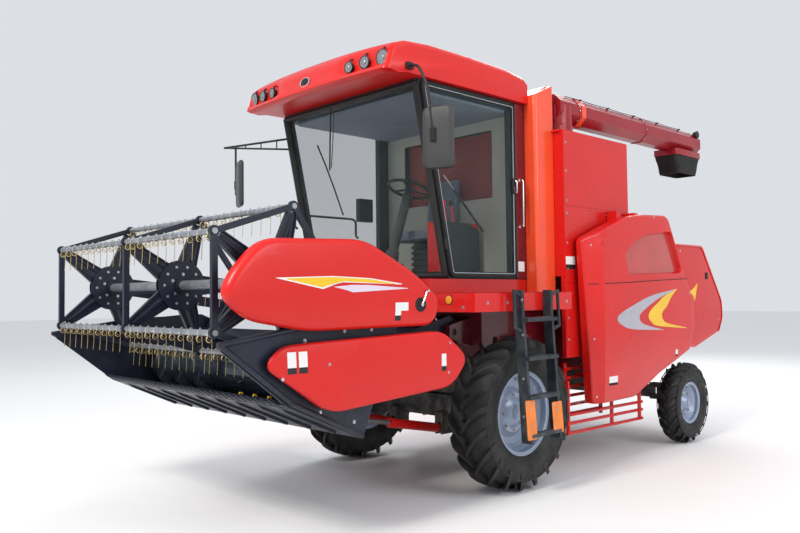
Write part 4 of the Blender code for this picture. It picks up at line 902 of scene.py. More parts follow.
# the two crescents, each given by its outer and inner line
CRESCENTS = (
    (SILVER, 0.0015,
     [(2.640, 1.665), (2.100, 1.600), (1.711, 1.502), (1.490, 1.430), (1.430, 1.375), (1.500, 1.320),
      (1.711, 1.270), (2.319, 1.239)],
     [(2.640, 1.660), (2.260, 1.575), (1.997, 1.484), (1.860, 1.420), (1.832, 1.377), (1.870, 1.332),
      (1.997, 1.295), (2.319, 1.243)]),
    (YELLOW, 0.0021,
     [(2.640, 1.665), (2.380, 1.600), (2.211, 1.525), (2.060, 1.450), (2.010, 1.390), (2.060, 1.335),
      (2.211, 1.285), (2.854, 1.238)],
     [(2.640, 1.660), (2.500, 1.575), (2.400, 1.484), (2.310, 1.430), (2.290, 1.384), (2.325, 1.340),
      (2.426, 1.304), (2.854, 1.244)]),
)


def hood(side, sign):
    panel = Piece(RED)
    shift = BODY_X * sign
    sunk_edge, floor_edge = shrunk(RECESS, 0.014), shrunk(RECESS, 0.016)

    def relief(back, z):
        """The lower edge tucks under, the front edge folds back and the upper field is sunk."""
        sunk = 0.045 if inside(sunk_edge, (back, z)) else 0.0
        return -0.020 * max(0.0, (1.35 - z) / 0.8) ** 2 - sunk - 0.50 * max(0.0, FRONT_FOLD - back)

    front_fold = [(FRONT_FOLD, 0.66 + 0.1 * k) for k in range(15)]
    face = panel.moulded(spaced(rounded(HOOD, 0.05, 4), 0.07), HOOD_OUT - 0.172 + shift, HOOD_OUT + shift, 0.030,
                         0.016, relief=relief, sign=sign, grid=0.06,
                         lines=[(RECESS, True), (floor_edge, True), (front_fold, False)])
    for polygon in panel.work.faces:
        spot = polygon.calc_center_median()
        if inside(floor_edge, (spot.y - AXLE_Y, spot.z)) and sign * spot.x > HOOD_OUT + shift - 0.08:
            polygon.material_index = panel.slot_of(INSET)
    # seam across the panel: a near-black film for the gap, painted shade under a proud lip
    seam = [tuple(p) for p in line([(1.062, 1.712), (1.60, 1.728), (2.20, 1.752), (2.895, 1.775)], 24)]
    for paint, top, bottom, lift in ((DARK_PRINT_AND_SHADE, 0.004, -0.004, 0.0008), (RED, 0.013, 0.004, 0.0026)):
        panel.paint = paint
        panel.film([(a, b + top) for a, b in seam], [(a, b + bottom) for a, b in seam], face, 1, lift, sign)
    for paint, lift, outer, inner in CRESCENTS:
        panel.paint = paint
        panel.film(line(outer, 48), line(inner, 48), face, lift=lift, sign=sign)
    sticker(panel, face, 1.285, 0.795, 0.150, 0.085, DARK_PRINT_AND_SHADE, sign)
    sticker(panel, face, 2.60, 0.985, 0.050, 0.070, DARK_PRINT_AND_SHADE, sign)
    panel.paint = CHROME
    face_bolts(panel, face, ((1.10, 2.08), (1.115, 1.20), (1.14, 0.66), (2.94, 1.62), (2.20, 2.40)), sign)
    panel.paint = RED
    low, high = sorted((sign * (0.952 + shift), sign * (HOOD_OUT - 0.10 + shift)))
    for back in (1.650, 1.980):  # hinge tabs
        panel.box(at(low, back - 0.04, 2.300), at(high, back + 0.04, 2.440))
    panel.done(f"hood_shell_{side}", f"hood_{side}", "red", (f"side_hood_{side}",), angle=13)


for side, sign in SIDES:
    hood(side, sign)

# --- rear hood
REAR = [(3.100, 2.180), (3.780, 2.180), (4.270, 1.530), (4.280, 1.340), (4.150, 1.140), (3.520, 0.980),
        (3.150, 1.050)]
REAR_BACK = [(3.100, 2.180), (3.760, 2.180), (4.262, 1.540), (4.276, 1.340), (4.150, 1.140)]
REAR_HALF, REAR_ROLL = 0.93, 0.035  # half width, and how far in its edges roll over
rear = Piece(RED)
profile = rounded(REAR_BACK, 0.06, 5)[3:-3]
edge_x = (REAR_HALF - REAR_ROLL, REAR_HALF - 0.010, REAR_HALF)
skins = []
for x in [-x for x in edge_x[::-1]] + [REAR_HALF * (-0.9 + 0.3 * k) for k in range(7)] + list(edge_x):
    pull = 0.030 * (max(0.0, abs(x) - edge_x[0]) / REAR_ROLL) ** 2
    skins.append([at(BODY_X + x, y - pull * (0.8 if y > 3.3 else 0.0), z - pull * 0.8) for y, z in profile])
count = len(profile)
rear.faces([p for ring in skins for p in ring],
           [(k, k + 1, k + 1 + count, k + count) for r in range(len(skins) - 1)
            for k in range(r * count, (r + 1) * count - 1)])
for sign in (-1, 1):
    shift = BODY_X * sign
    rear.paint = RED
    cheek = rear.moulded(spaced(rounded(REAR, 0.05, 4), 0.08), REAR_HALF - 0.030 + shift, REAR_HALF + shift, 0.018,
                         0.010, sign=sign)
    rear.paint = YELLOW
    rear.film(line([(3.33, 1.640), (3.45, 1.655), (3.60, 1.735)], 12),
              line([(3.33, 1.636), (3.45, 1.600), (3.52, 1.520)], 12), cheek, sign=sign)
    patch(rear, DARK_PRINT_AND_SHADE, cheek, (3.80, 3.88), (1.86, 1.78), sign)
    rear.paint = CHROME
    face_bolts(rear, cheek, ((3.20, 2.10), (3.20, 1.60), (3.22, 1.12), (4.15, 1.30)), sign)
rear.paint = RED
for sign in (-1, 1):  # brackets to the body
    low, high = sorted((sign * 0.601, sign * 0.91))
    rear.box(at(BODY_X + low, 3.200, 1.400), at(BODY_X + high, 3.240, 1.800))
thick = rear.done("rear_hood_shell", "chassis", "red", ("rear_hood",), angle=40).modifiers.new("sheet", "SOLIDIFY")
thick.thickness = 0.006
thick.offset = -1.0

# --- grain tank panels and corner
TANK_SIDE = 1.160
TANK_SIDE_RIGHT = 2 * BODY_X - TANK_SIDE
panels = Piece(RED)
for high, z0, z1 in ((2.034, 2.456, 3.164), (2.034, 1.730, 2.444), (1.296, 1.036, 1.716)):
    outline = from_axle(rounded(rectangle(0.888, z0, high, z1), 0.008, 2))
    panels.plate("X", outline, TANK_SIDE - 0.002, TANK_SIDE + 0.005)
    panels.plate("X", outline, TANK_SIDE_RIGHT - 0.005, TANK_SIDE_RIGHT + 0.002)
panels.paint = ZINC
heights = (3.05, 2.78, 2.50, 2.38, 2.10, 1.86, 1.62, 1.40, 1.20)
panels.bolts([at(TANK_SIDE + 0.004, 0.925, z) for z in heights], (1, 0, 0), 0.009, 0.004)
panels.bolts([at(TANK_SIDE + 0.004, back, 2.405) for back in (1.25, 1.60, 1.95)], (1, 0, 0), 0.007, 0.004)
for paint, out, low, high in ((WHITE, 0.0056, 1.90, 1.975), (BLACK, 0.0058, 1.855, 1.898)):
    panels.paint = paint
    panels.box(at(TANK_SIDE + 0.004, 0.895, low), at(TANK_SIDE + out, 1.045, high))
panels.paint = KNOB_YELLOW
panels.disc(at(TANK_SIDE + 0.004, 1.235, 1.110), (1, 0, 0), 0.026, 0.010, 24, dome=0.016)
panels.paint = RED
for back in (0.860, 2.020):  # rolled rims across the tank
    panels.tube([at(x, back, 3.158) for x in (TANK_SIDE_RIGHT + 0.020, TANK_SIDE - 0.020)], 0.012, 10)
panels.done("tank_side_panels", "chassis", "red", bevel=0.0015, angle=35)

corner = Piece(RED)
CORNER_BACK = 0.8797
corner_side = [(0.604, 1.790), (0.8790, 1.790), (0.8790, 3.596), (0.850, 3.596), (0.604, 3.466)]
corner.plate("X", from_axle(corner_side), -0.74, 1.000)
corner.paint = ORANGE_RED
corner_plan = ((1.040, 0.6003), (1.058, 0.625), (1.058, CORNER_BACK), (0.950, CORNER_BACK), (0.930, 0.6003))
corner.rings([[at(x, y, 1.502) for x, y in corner_plan],
              [at(x, y, 3.598 - (CORNER_BACK - y) * 0.46) for x, y in corner_plan]])
corner.done("corner_panel", "chassis", "red", ("tank_front_panel",), bevel=0.006, angle=30)

# --- cab outside
ROOF_HALF, ROOF_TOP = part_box("cab_roof")[1].x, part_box("cab_roof")[1].z
POCKET = (0.44, 0.95)  # the lamps sit in a shallow pocket between these distances from the middle
roof = Piece(MOULDED)
loops = []
for i in range(53):
    x = ROOF_HALF * sin((-1 + i / 26) * pi / 2)
    u = abs(x) / ROOF_HALF
    end = max(0.0, (u - 0.955) / 0.045)
    pocket = 0.0
    if POCKET[0] < abs(x) < POCKET[1]:
        pocket = 0.040 * min(1.0, (abs(x) - POCKET[0]) / 0.05) * min(1.0, (POCKET[1] - abs(x)) / 0.04)
    front = -1.249 + 0.045 * u ** 3.0 + end ** 2 * 0.03
    top = ROOF_TOP - 0.002 - 0.022 * u ** 2 - 0.045 * end ** 2
    side_profile = [
        (0.598, 3.392), (-0.60, 3.392), (-0.96, 3.390), (front + 0.120, 3.372),
        (front + 0.030, 3.366 + 0.02 * end), (front + 0.004, 3.385), (front + 0.010 + pocket * 0.2, 3.412),
        (front + 0.030 + pocket, 3.440), (front + 0.050 + pocket, 3.515), (front + 0.075 + pocket * 0.4, 3.570),
        (front + 0.125, top - 0.068), (front + 0.25, top - 0.024), (front + 0.50, top - 0.002), (-0.20, top),
        (0.300, top - 0.010), (0.560, top - 0.040), (0.598, top - 0.070),
    ]
    loops.append([at(x, y, z) for y, z in side_profile])
roof.rings(loops)
roof.done("roof_shell", "chassis", "red_plastic", ("cab_roof",), angle=42)


def work_lamp(piece, centre, way, radius):
    """A round work lamp: shell, rim, dimpled reflector, lens and foot."""
    way = Vector(way).normalized()
    side = way.orthogonal().normalized()
    other = way.cross(side)
    foot = centre - way * 0.02
    lift = Vector((0, 0, radius))
    piece.paint = BLACK
    shell = ((-0.058, 0.35), (-0.045, 0.7), (-0.012, 0.96), (0.0, 1.0))
    piece.tube([centre + way * out for out, _ in shell], [radius * size for _, size in shell], 20)
    piece.tube([centre + way * 0.004 + side * a + other * b for a, b in circle(24, radius)], 0.0045, 6, loop=True)
    piece.tube([foot + lift * 0.9, foot + lift + Vector((0, 0, 0.022))], 0.008, 8)
    piece.tube([foot + lift + Vector((0, 0, 0.020)), centre + lift + Vector((0, 0.05, 0.034))], 0.006, 8)
    piece.paint = REFLECTOR
    piece.disc(centre + way * 0.0006, way, radius * 0.93, 0.002, 24, dome=-0.0012)
    piece.disc(centre + way * 0.002, way, radius * 0.28, 0.006, 16, dome=0.004)
    piece.paint = LENS
    piece.disc(centre + way * 0.006, way, radius * 0.94, 0.002, 24, dome=0.006)


WORK_LAMPS = ((0.54, -1.196, 3.476, 0.044), (0.715, -1.180, 3.482, 0.050), (0.895, -1.150, 3.488, 0.062))
lamps = Piece(BLACK)
for sign in (-1, 1):
    for x, back, z, r in WORK_LAMPS:
        work_lamp(lamps, at(sign * x, back, z), (sign * 0.10, -1, -0.06), r)
lamps.done("roof_lamps", "chassis", "black_plastic", angle=40)

badge = Piece(CHROME)
badge_ring = circle(28, 0.062, 0.040)
badge.tube([at(a - 0.02, -1.2200 + 0.2 * b, 3.465 + b) for a, b in badge_ring], 0.005, 6, loop=True)
badge.paint = BLACK
badge.rings([[at(r * a - 0.02, -1.214 + d, 3.465 + r * b) for a, b in badge_ring]
             for r, d in ((1.0, 0.006), (1.0, -0.002), (0.6, -0.005))])
badge.done("blank_roof_plate", "chassis", "black_plastic", angle=40)

# --- cab door, pillars and trim
PILLAR_TOP, PILLAR_LOW = Vector((-0.790, 3.390)), Vector((-0.450, 1.760))


def on_pillar(z):
    """How far back the front pillar stands at a height."""
    return PILLAR_LOW.x + (z - PILLAR_LOW.y) / (PILLAR_TOP - PILLAR_LOW).y * (PILLAR_TOP - PILLAR_LOW).x


DOOR_LOW, DOOR_HIGH = 1.775, 3.375
DOOR = rounded([(on_pillar(DOOR_LOW) + 0.012, DOOR_LOW), (0.450, DOOR_LOW), (0.450, DOOR_HIGH),
                (on_pillar(DOOR_HIGH) + 0.012, DOOR_HIGH)], 0.055, 5)


def door_frame(outer, inner, low, high):
    """A frame between two outlines shrunk from the door's edge."""
    door.frame_plate("X", *(from_axle(shrunk(DOOR, by)) for by in (outer, inner)), low, high)


door = Piece(BLACK)
door_frame(0.0, 0.034, 0.926, 0.942)
door.paint = CHROME
door_frame(0.0345, 0.0385, 0.938, 0.9445)
door.paint = SOFT_RUBBER
door_frame(0.006, 0.016, 0.940, 0.9455)
door.paint = BLACK
lean = (at(0, on_pillar(3.1), 3.1) - at(0, on_pillar(2.05), 2.05)).normalized()
for z in (2.050, 3.100):  # hinges
    here = at(0.9342, on_pillar(z) + 0.012, z)
    door.tube([here - lean * 0.045, here + lean * 0.045], 0.0138, 14)
    door.box((0.929, here.y, z - 0.030), (0.9415, here.y + 0.055, z + 0.030))
door.rings([[at(0.944 + d, 0.410 + r * a, 2.610 + r * b) for a, b in circle(24, 0.024, 0.072)]
            for d, r in ((-0.004, 1.0), (0.010, 1.0), (0.016, 0.75), (0.010, 0.6))])
door.paint = MAROON
door.disc(at(0.9535, 0.410, 2.590), (1, 0, 0), 0.013, 0.004, 16)
door.paint = CHROME
handle = ((0.948, 0.428, 2.665), (0.968, 0.430, 2.655), (0.968, 0.430, 2.555), (0.948, 0.428, 2.545))
door.tube(around([at(*p) for p in handle], 0.016), 0.0055, 8)
door.done("door_trim", "door", "black", ("cab_door",), angle=35)
pane = Piece(GLASS)
pane.plate("X", from_axle(shrunk(DOOR, 0.033)), 0.9300, 0.9350)
pane.done("door_pane", "door", "glass", ("door_glass",), angle=30)
strut = Piece(BLACK)
strut.tube([at(0.905, -0.36, 2.52), at(0.905, 0.02, 2.18)], 0.010, 10)
strut.paint = CHROME
strut.tube([at(0.905, -0.48, 2.63), at(0.905, -0.36, 2.52)], 0.005, 8)
strut.done("door_gas_strut", "chassis", "black", angle=35)

trim = Piece(MAROON)
trim.plate("X", from_axle(rounded(rectangle(0.456, 1.768, 0.5995, 3.384), 0.006, 2)), 0.9203, 0.934)
trim.paint = CHROME
GRAB_Z = (2.675, 2.245)
grab = [(0.934, GRAB_Z[0]), (0.975, GRAB_Z[0]), (0.975, GRAB_Z[1]), (0.934, GRAB_Z[1])]
trim.tube(around([at(x, 0.512, z) for x, z in grab], 0.035), 0.0085, 10)
for z in GRAB_Z:
    trim.disc(at(0.933, 0.512, z), (1, 0, 0), 0.018, 0.004, 16)
trim.paint = WHITE
trim.box(at(0.934, 0.475, 1.835), at(0.9352, 0.565, 1.925))
# black seals along the windscreen's sides, top and foot
trim.paint = BLACK
for x in (-0.893, 0.893):
    trim.tube([at(x, on_pillar(z) - 0.008, z) for z in (1.785, 2.30, 2.85, 3.36)], 0.030, 8, squash=0.55)
trim.tube([at(x, on_pillar(3.35) - 0.004, 3.352) for x in (-0.90, 0.90)], 0.030, 8)
trim.tube([at(x, on_pillar(1.79) - 0.006, 1.792) for x in (-0.90, 0.90)], 0.026, 8)
trim.done("cab_trim", "chassis", "black", angle=40)


def on_screen(x, z, off):
    return at(x, on_pillar(z) - 0.004 - off, z)


ARM = ((-0.18, 3.31, 0.030), (-0.255, 3.07, 0.030), (-0.345, 2.80, 0.022))
LINK = ((-0.14, 3.31, 0.028), (-0.215, 3.07, 0.028), (-0.315, 2.82, 0.022))
BLADE = ((-0.475, 3.05, 0.012), (-0.40, 2.85, 0.014), (-0.33, 2.62, 0.014), (-0.27, 2.38, 0.012))
wiper = Piece(BLACK)
wiper.tube([at(-0.18, on_pillar(3.33) - 0.030, 3.335)] + [on_screen(*spot) for spot in ARM], 0.007, 8)
wiper.tube([on_screen(*spot) for spot in LINK], 0.004, 6)
wiper.paint = SOFT_RUBBER
wiper.tube([on_screen(*spot) for spot in BLADE], 0.007, 6, squash=0.5)
wiper.done("windscreen_wiper", "chassis", "black", angle=40)


def mirror(x, back, turn, low, high):
    """A mirror head: a rounded shell and its glass. What comes next on it is black."""
    head = Piece(GREY_PLASTIC)
    half, tall = 0.126, (high - low) / 2
    place = Matrix.Translation(at(x, back, (low + high) / 2)) @ Matrix.Rotation(radians(turn), 4, "Z")
    outline = rounded(rectangle(-half, -tall, half, tall), 0.055, 6)

    def smaller(value, scale):
        """The shell's shallow rings keep their corners; its deep ones shrink."""
        return value * scale if scale < 0.9 else value - (1 - scale) * half * (1 if value > 0 else -1)

    shell = ((0.96, 0.020), (1.0, 0.012), (1.0, -0.004), (0.93, -0.016), (0.74, -0.0225), (0.4, -0.0235))
    head.rings([[place @ Vector((smaller(a, scale), y, smaller(b, scale))) for a, b in outline]
                for scale, y in shell])
    head.paint = MIRROR_GLASS
    head.rings([[place @ Vector((a, y, b)) for a, b in shrunk(outline, 0.012)] for y in (0.0205, 0.0225)])
    head.paint = BLACK
    return head


left_mirror = mirror(1.270, -0.925, 24.6, 2.590, 3.070)
stalk = ((1.000, -0.950, 3.440), (1.100, -0.960, 3.420), (1.200, -0.962, 3.230), (1.250, -0.958, 2.86))
left_mirror.tube(around([at(*p) for p in stalk], 0.05), 0.0115, 10)
left_mirror.box(at(0.981, -0.985, 3.415), at(1.008, -0.915, 3.465))
left_mirror.box(at(1.230, -0.978, 2.80), at(1.275, -0.945, 2.90))
left_mirror.done("mirror_head_left", "chassis", "black_plastic", ("mirror_left",), angle=40)
right_mirror = mirror(-1.245, -1.100, -22.5, 2.510, 2.960)
outer_end = at(-1.530, -1.098, 3.130)
roots = [at(-0.930, -0.700, z) for z in (3.190, 3.080)]
for root, thick in zip(roots, (0.0105, 0.0095)):
    right_mirror.tube([root, outer_end], thick, 10)
for part in (0.22, 0.45, 0.68):
    right_mirror.tube([root.lerp(outer_end, part) for root in roots], 0.006, 8)
DROP_X, DROP_Y = -1.372, -1.062
drop = [at(-1.490, -1.075, 3.130), at(DROP_X, DROP_Y, 3.130), at(DROP_X, DROP_Y, 2.64)]
right_mirror.tube(around(drop, 0.03), 0.0105, 10)
right_mirror.box(at(DROP_X - 0.012, DROP_Y - 0.012, 2.70), at(DROP_X + 0.045, DROP_Y + 0.012, 2.78))
right_mirror.box(at(-0.942, -0.716, 3.050), at(-0.9205, -0.684, 3.210))
right_mirror.done("mirror_head_right", "chassis", "black_plastic", ("mirror_right",), angle=40)

# --- unloading auger
tube_low, tube_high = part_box("unloading_tube")
UNLOAD = Vector(((tube_low.x + tube_high.x) / 2, tube_low.y + 0.150, tube_high.z - 0.147))  # top of its riser
FAR_Y = tube_high.y
SEAM_Y = at(0, 2.60, 0).y  # a flange joint along the tube
EIGHT = circle(8, 0.146, turn=pi / 8)


def by_unload(x=0.0, y=0.0, z=0.0):
    return UNLOAD + Vector((x, y, z))


def eight_sided(stops):
    """A run of the eight-sided tube through (y, size) stops."""
    chute.rings([[Vector((UNLOAD.x + a * size, y, UNLOAD.z + b * size)) for a, b in EIGHT] for y, size in stops])


chute = Piece(CRIMSON)
near = UNLOAD.y + 0.20
flanges = [(start + step, size) for start in (near, SEAM_Y)
           for step, size in ((0.0, 0.94), (0.004, 1.0), (0.016, 1.0), (0.020, 0.94))]
eight_sided([(UNLOAD.y - 0.12, 0.94)] + flanges + [(FAR_Y - 0.012, 0.94), (FAR_Y, 0.90)])
chute.lathe([(tube_low.z, 0.138), (tube_low.z, 0.149), (tube_low.z + 0.018, 0.149), (tube_low.z + 0.024, 0.141),
             (UNLOAD.z + 0.02, 0.141), (UNLOAD.z + 0.045, 0.100), (UNLOAD.z + 0.045, 0.001), (tube_low.z, 0.001)],
            (UNLOAD.x, UNLOAD.y, 0), "Z", 32)
chute.paint = ORANGE_RED
eight_sided([(near + 0.035, 0.95), (near + 0.037, 0.985), (near + 0.110, 0.985), (near + 0.112, 0.95)])
chute.paint = CHROME
for y in (near + 0.003, SEAM_Y + 0.003):
    chute.bolts([Vector((UNLOAD.x + a, y, UNLOAD.z + b)) for a, b in circle(8, 0.1335)], (0, -1, 0), 0.006, 0.005)
chute.paint = BLACK
wire = [by_unload(0.060, 0.05 + 0.26 * k, 0.1305 + 0.004 * (k % 2)) for k in range(10)]
chute.tube(line(wire, 40), 0.004, 6)
for spot in wire[1::2]:
    chute.box(spot - Vector((0.016, 0.008, 0.008)), spot + Vector((0.016, 0.008, 0.006)))
chute.disc(by_unload(0, -0.120), (0, -1, 0), 0.056, 0.008, 24)
chute.tube([(UNLOAD.x + 0.02, FAR_Y - 0.10, UNLOAD.z + z) for z in (0.120, 0.142)], 0.012, 10)
chute.lathe([(-0.030, 0.020), (-0.010, 0.040), (0.030, 0.046), (0.034, 0.040), (0.034, 0.001), (-0.030, 0.001)],
            (UNLOAD.x + 0.095, FAR_Y - 0.08, UNLOAD.z + 0.110), "X", 24)
chute.done("unloading_auger_tube", "unloader", "crimson", ("unloading_tube",), bevel=0.002, angle=24)

spout_low, spout_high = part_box("unloading_spout")
spout_half = (spout_high - spout_low) / 2
spout_mid = (spout_low + spout_high) / 2
spout = Piece(SOFT_RUBBER)
rings = []
for t in [k / 9 for k in range(10)]:
    wide, deep = spout_half.x * (0.97 - 0.10 * t), spout_half.y * (0.985 - 0.27 * t ** 1.2)
    z = (spout_high.z - 0.060) * (1 - t) + spout_low.z * t
    ring = rounded(rectangle(-wide, -deep, wide, deep), 0.05, 4)
    rings.append([Vector((UNLOAD.x + a + 0.004 * sin(7 * t + b * 9), spout_mid.y + b, z)) for a, b in ring])
inner = [[p + (Vector((UNLOAD.x, spout_mid.y, p.z)) - p).normalized() * 0.008 for p in ring]
         for ring in rings[::-1]]
spout.rings(rings + inner, loop=True)
spout.paint = CRIMSON
collar = rounded(rectangle(-spout_half.x, -spout_half.y, spout_half.x, spout_half.y), 0.03, 3)
outer, inner = ([(UNLOAD.x + a * 0.995 * u, spout_mid.y + b * 0.995 * v) for a, b in collar]
                for u, v in ((1, 1), (0.93, 0.97)))
spout.frame_plate("Z", outer, inner, spout_high.z - 0.070, spout_high.z - 0.0005)
spout.done("unloading_spout_boot", "unloader", "rubber", ("unloading_spout",), angle=32)

# --- platform, ladder and guards
def on_ladder(out, back, z):
    """A point just off the ladder's outer side, which leans in as it rises."""
    return at(1.5725 + out - (z - 0.475) * 0.0708, back, z)


steps = Piece(ORANGE)
for back0, back1, z0, z1 in ((-0.268, -0.142, 0.475, 0.785), (0.082, 0.222, 0.485, 0.740)):
    steps.paint = ORANGE
    flap = rounded(rectangle(back0, z0, back1, z1), 0.016, 4)
    steps.rings([[on_ladder(out, *spot) for spot in flap] for out in (0.0004, 0.0022)])
    steps.paint = ZINC
    steps.bolts([on_ladder(0.001, back0 + (back1 - back0) * u, z0 + (z1 - z0) * v)
                 for u, v in ((0.2, 0.9), (0.8, 0.9), (0.5, 0.75))], (1, 0, 0), 0.007, 0.005)
steps.paint = GALVANISED
for i, z in enumerate((1.420, 1.110, 0.800, 0.500)):  # ribs across each rung
    x = 1.440 + 0.022 * i
    for k in range(9):
        back = -0.190 + 0.360 * k / 8
        steps.tube([at(x + 0.020, back, z + 0.0145), at(x + 0.058, back, z + 0.0145)], 0.0035, 6)
steps.paint = ZINC
for back, way in ((-0.2203, -1), (0.2003, 1)):
    steps.bolts([at(1.500, back, z) for z in (1.58, 1.30, 0.95, 0.65)], (0, way, 0), 0.008, 0.005)
steps.done("ladder_fittings", "chassis", "grey", bevel=0.0012, angle=32)

deck_low, deck_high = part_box("platform")
deck = Piece(SOFT_RUBBER)
for k in range(26):  # ribs of the walkway's mat
    x = 0.965 + 0.440 * k / 25
    deck.box(at(x - 0.004, -0.660, 1.6395), at(x + 0.004, 0.560, 1.6435))


def marker_ring(radius, out):
    """A ring of the marker lamp on the deck's front edge."""
    return [Vector((1.150 + a, deck_low.y - out, 1.588 + b)) for a, b in circle(24, radius)]


deck.paint = BLACK
deck.tube(marker_ring(0.036, 0.001), 0.004, 6, loop=True)
deck.paint = AMBER
deck.rings([marker_ring(r * 0.034, d) for d, r in ((0.0002, 1.0), (0.004, 1.0), (0.007, 0.8), (0.0085, 0.4))])
deck.paint = ZINC
front_bolts = [(x, deck_low.y + 0.001, 1.530) for x in (-0.85, -0.45, 0.0, 0.45, 0.85, 1.30)]
side_bolts = [at(deck_high.x - 0.0005, back, 1.560) for back in (-0.55, -0.30, 0.30, 0.52)]
deck.bolts(front_bolts, (0, -1, 0), 0.009, 0.005)
deck.bolts(side_bolts, (1, 0, 0), 0.009, 0.005)
deck.done("platform_fittings", "chassis", "black_plastic", angle=35)

GRILLE_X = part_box("slat_grille")[1].x
guards = Piece(DARK_PRINT_AND_SHADE)
for z in [0.4925 + 0.085 * i for i in range(6)]:
    for back in (1.09, 1.24, 1.39, 1.50):  # slots in the grille's slats, drawn as near-black plates: painted shade
        slot = from_axle(rectangle(back - 0.040, z - 0.0055, back + 0.040, z + 0.0055))
        guards.plate("X", slot, GRILLE_X + 0.0006, GRILLE_X + 0.0012)
guards.paint = ZINC
grille_bolts = [at(GRILLE_X - 0.005, back, z) for z in (0.46, 0.70, 0.94) for back in (0.970, 1.580)]
guards.bolts(grille_bolts, (1, 0, 0), 0.007, 0.004)
guards.done("guard_fittings", "chassis", "red", angle=35)

# --- cab inside
CAB_IN = 0.855  # half the width between the cab's side windows
inside_cab = Piece(LINER)
inside_cab.plate("Z", from_axle(rounded(rectangle(-CAB_IN, -0.700, CAB_IN, 0.530), 0.06, 4), 1), 3.300, 3.325)
inside_cab.paint = WALL
inside_cab.frame_plate("Y", rounded(rectangle(-CAB_IN, 1.83, CAB_IN, 3.30), 0.02, 2),
                       rounded(rectangle(-0.600, 2.550, 0.600, 3.200), 0.02, 2), 0.528 + AXLE_Y, 0.536 + AXLE_Y)
inside_cab.paint = BLACK
inside_cab.box(at(-0.858, -0.42, 1.8215), at(0.858, 0.53, 1.8260))
inside_cab.box(at(-0.853, 0.06, 2.400), at(-0.790, 0.24, 2.640))
for y in [-0.40 + 0.90 * k / 29 for k in range(30)]:  # ribs of the floor mat
    inside_cab.box(at(-0.84, y - 0.004, 1.8255), at(0.84, y + 0.004, 1.8285))
inside_cab.paint = GREY_PLASTIC
console_side = [(-0.060, 1.84), (0.445, 1.84), (0.445, 2.24), (0.30, 2.298), (-0.060, 2.298)]
inside_cab.plate("X", from_axle(rounded(console_side, 0.03, 4)), 0.487, 0.494)
boot_base, boot_top = at(0, -0.290, 1.845), at(0, -0.215, 2.050)
inside_cab.tube([boot_base.lerp(boot_top, k / 12) for k in range(13)],
                [0.085 - 0.030 * k / 12 + 0.007 * (k % 2) for k in range(13)], 18)
KNOB = ((2.462, 0.010), (2.470, 0.019), (2.490, 0.022), (2.508, 0.016), (2.514, 0.006))
for back, paint in ((-0.030, KNOB_YELLOW), (0.070, RED), (0.170, BLACK)):  # lever knobs
    inside_cab.paint = paint
    inside_cab.rings([[at(0.390 + a, back + b, z) for a, b in circle(14, r)] for z, r in KNOB])
inside_cab.done("cab_inside", "chassis", "grey", bevel=0.002, angle=35)

rail = Piece(BLACK)
RAIL = ((-0.930, -0.640, 2.30), (-0.965, -0.640, 2.32), (-0.965, -0.640, 2.44), (-0.965, 0.15, 2.44),
        (-0.965, 0.15, 2.26), (-0.930, 0.15, 2.24))
rail.tube(around([at(*p) for p in RAIL], 0.06), 0.012, 10)
rail.done("side_guard_rail", "chassis", "black", angle=40)

# --- driver's seat
SWELL = 0.012  # furthest that the cloth pressure may move a pad's surface
CHANNEL_GAP, CHANNEL_HALF, CHANNEL_DEEP = 0.105, 0.014, 0.007


def pad(name, outline, axis, low, high, in_front):
    """A stuffed seat pad: a rounded block that cloth pressure swells, with channels sewn into its front."""
    block = Piece(CLOTH)
    block.plate(axis, rounded(outline, 0.035, 5), low, high)
    bmesh.ops.recalc_face_normals(block.work, faces=block.work.faces)
    obj = block.placed(name)
    bpy.context.view_layer.objects.active = obj
    obj.select_set(True)
    remesh = obj.modifiers.new("remesh", "REMESH")
    remesh.mode = "VOXEL"
    remesh.voxel_size = 0.006
    bpy.ops.object.modifier_apply(modifier="remesh")
    obj.select_set(False)
    cloth = obj.modifiers.new("cloth", "CLOTH")
    cloth.settings.use_pressure = True
    cloth.settings.uniform_pressure_force = 4
    cloth.settings.effector_weights.gravity = 0
    for step in range(1, 21):
        bpy.context.scene.frame_set(step)
    graph = bpy.context.evaluated_depsgraph_get()
    moved = [v.co.copy() for v in obj.evaluated_get(graph).data.vertices]
    obj.modifiers.remove(cloth)
    bpy.context.scene.frame_set(1)
    for vertex, spot in zip(obj.data.vertices, moved):
        way = spot - vertex.co
        vertex.co += way * min(1.0, SWELL / max(way.length, 1e-6))
    for vertex in obj.data.vertices:
        near = abs((vertex.co.x + CHANNEL_GAP / 2) % CHANNEL_GAP - CHANNEL_GAP / 2)
        if near < CHANNEL_HALF and in_front(vertex.co):
            vertex.co -= vertex.normal * CHANNEL_DEEP * (1 - near / CHANNEL_HALF) ** 2
    finer = obj.modifiers.new("finer", "SUBSURF")
    finer.levels = finer.render_levels = 1
    smooth(obj, 60)
    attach(obj, "chassis")
    return obj


cushion_plan = from_axle([(-0.212, 0.045), (0.212, 0.045), (0.205, 0.455), (-0.205, 0.455)], 1)
cushion = pad("seat_cushion", cushion_plan, "Z", 2.165, 2.245, lambda p: p.z > 2.22)
back_side = from_axle([(0.432, 2.265), (0.490, 2.265), (0.525, 2.770), (0.478, 2.775)])
pad("seat_backrest", back_side, "X", -0.200, 0.200, lambda p: p.y < 0.478 + AXLE_Y)
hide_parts("driver_seat")
SEAT_BACK = 0.260  # the seat base's middle


def seat_plate(half_x, half_y, radius, low, high):
    """A flat block under the seat."""
    outline = rectangle(-half_x, SEAT_BACK - half_y, half_x, SEAT_BACK + half_y)
    base.plate("Z", from_axle(rounded(outline, radius, 4), 1), low, high)


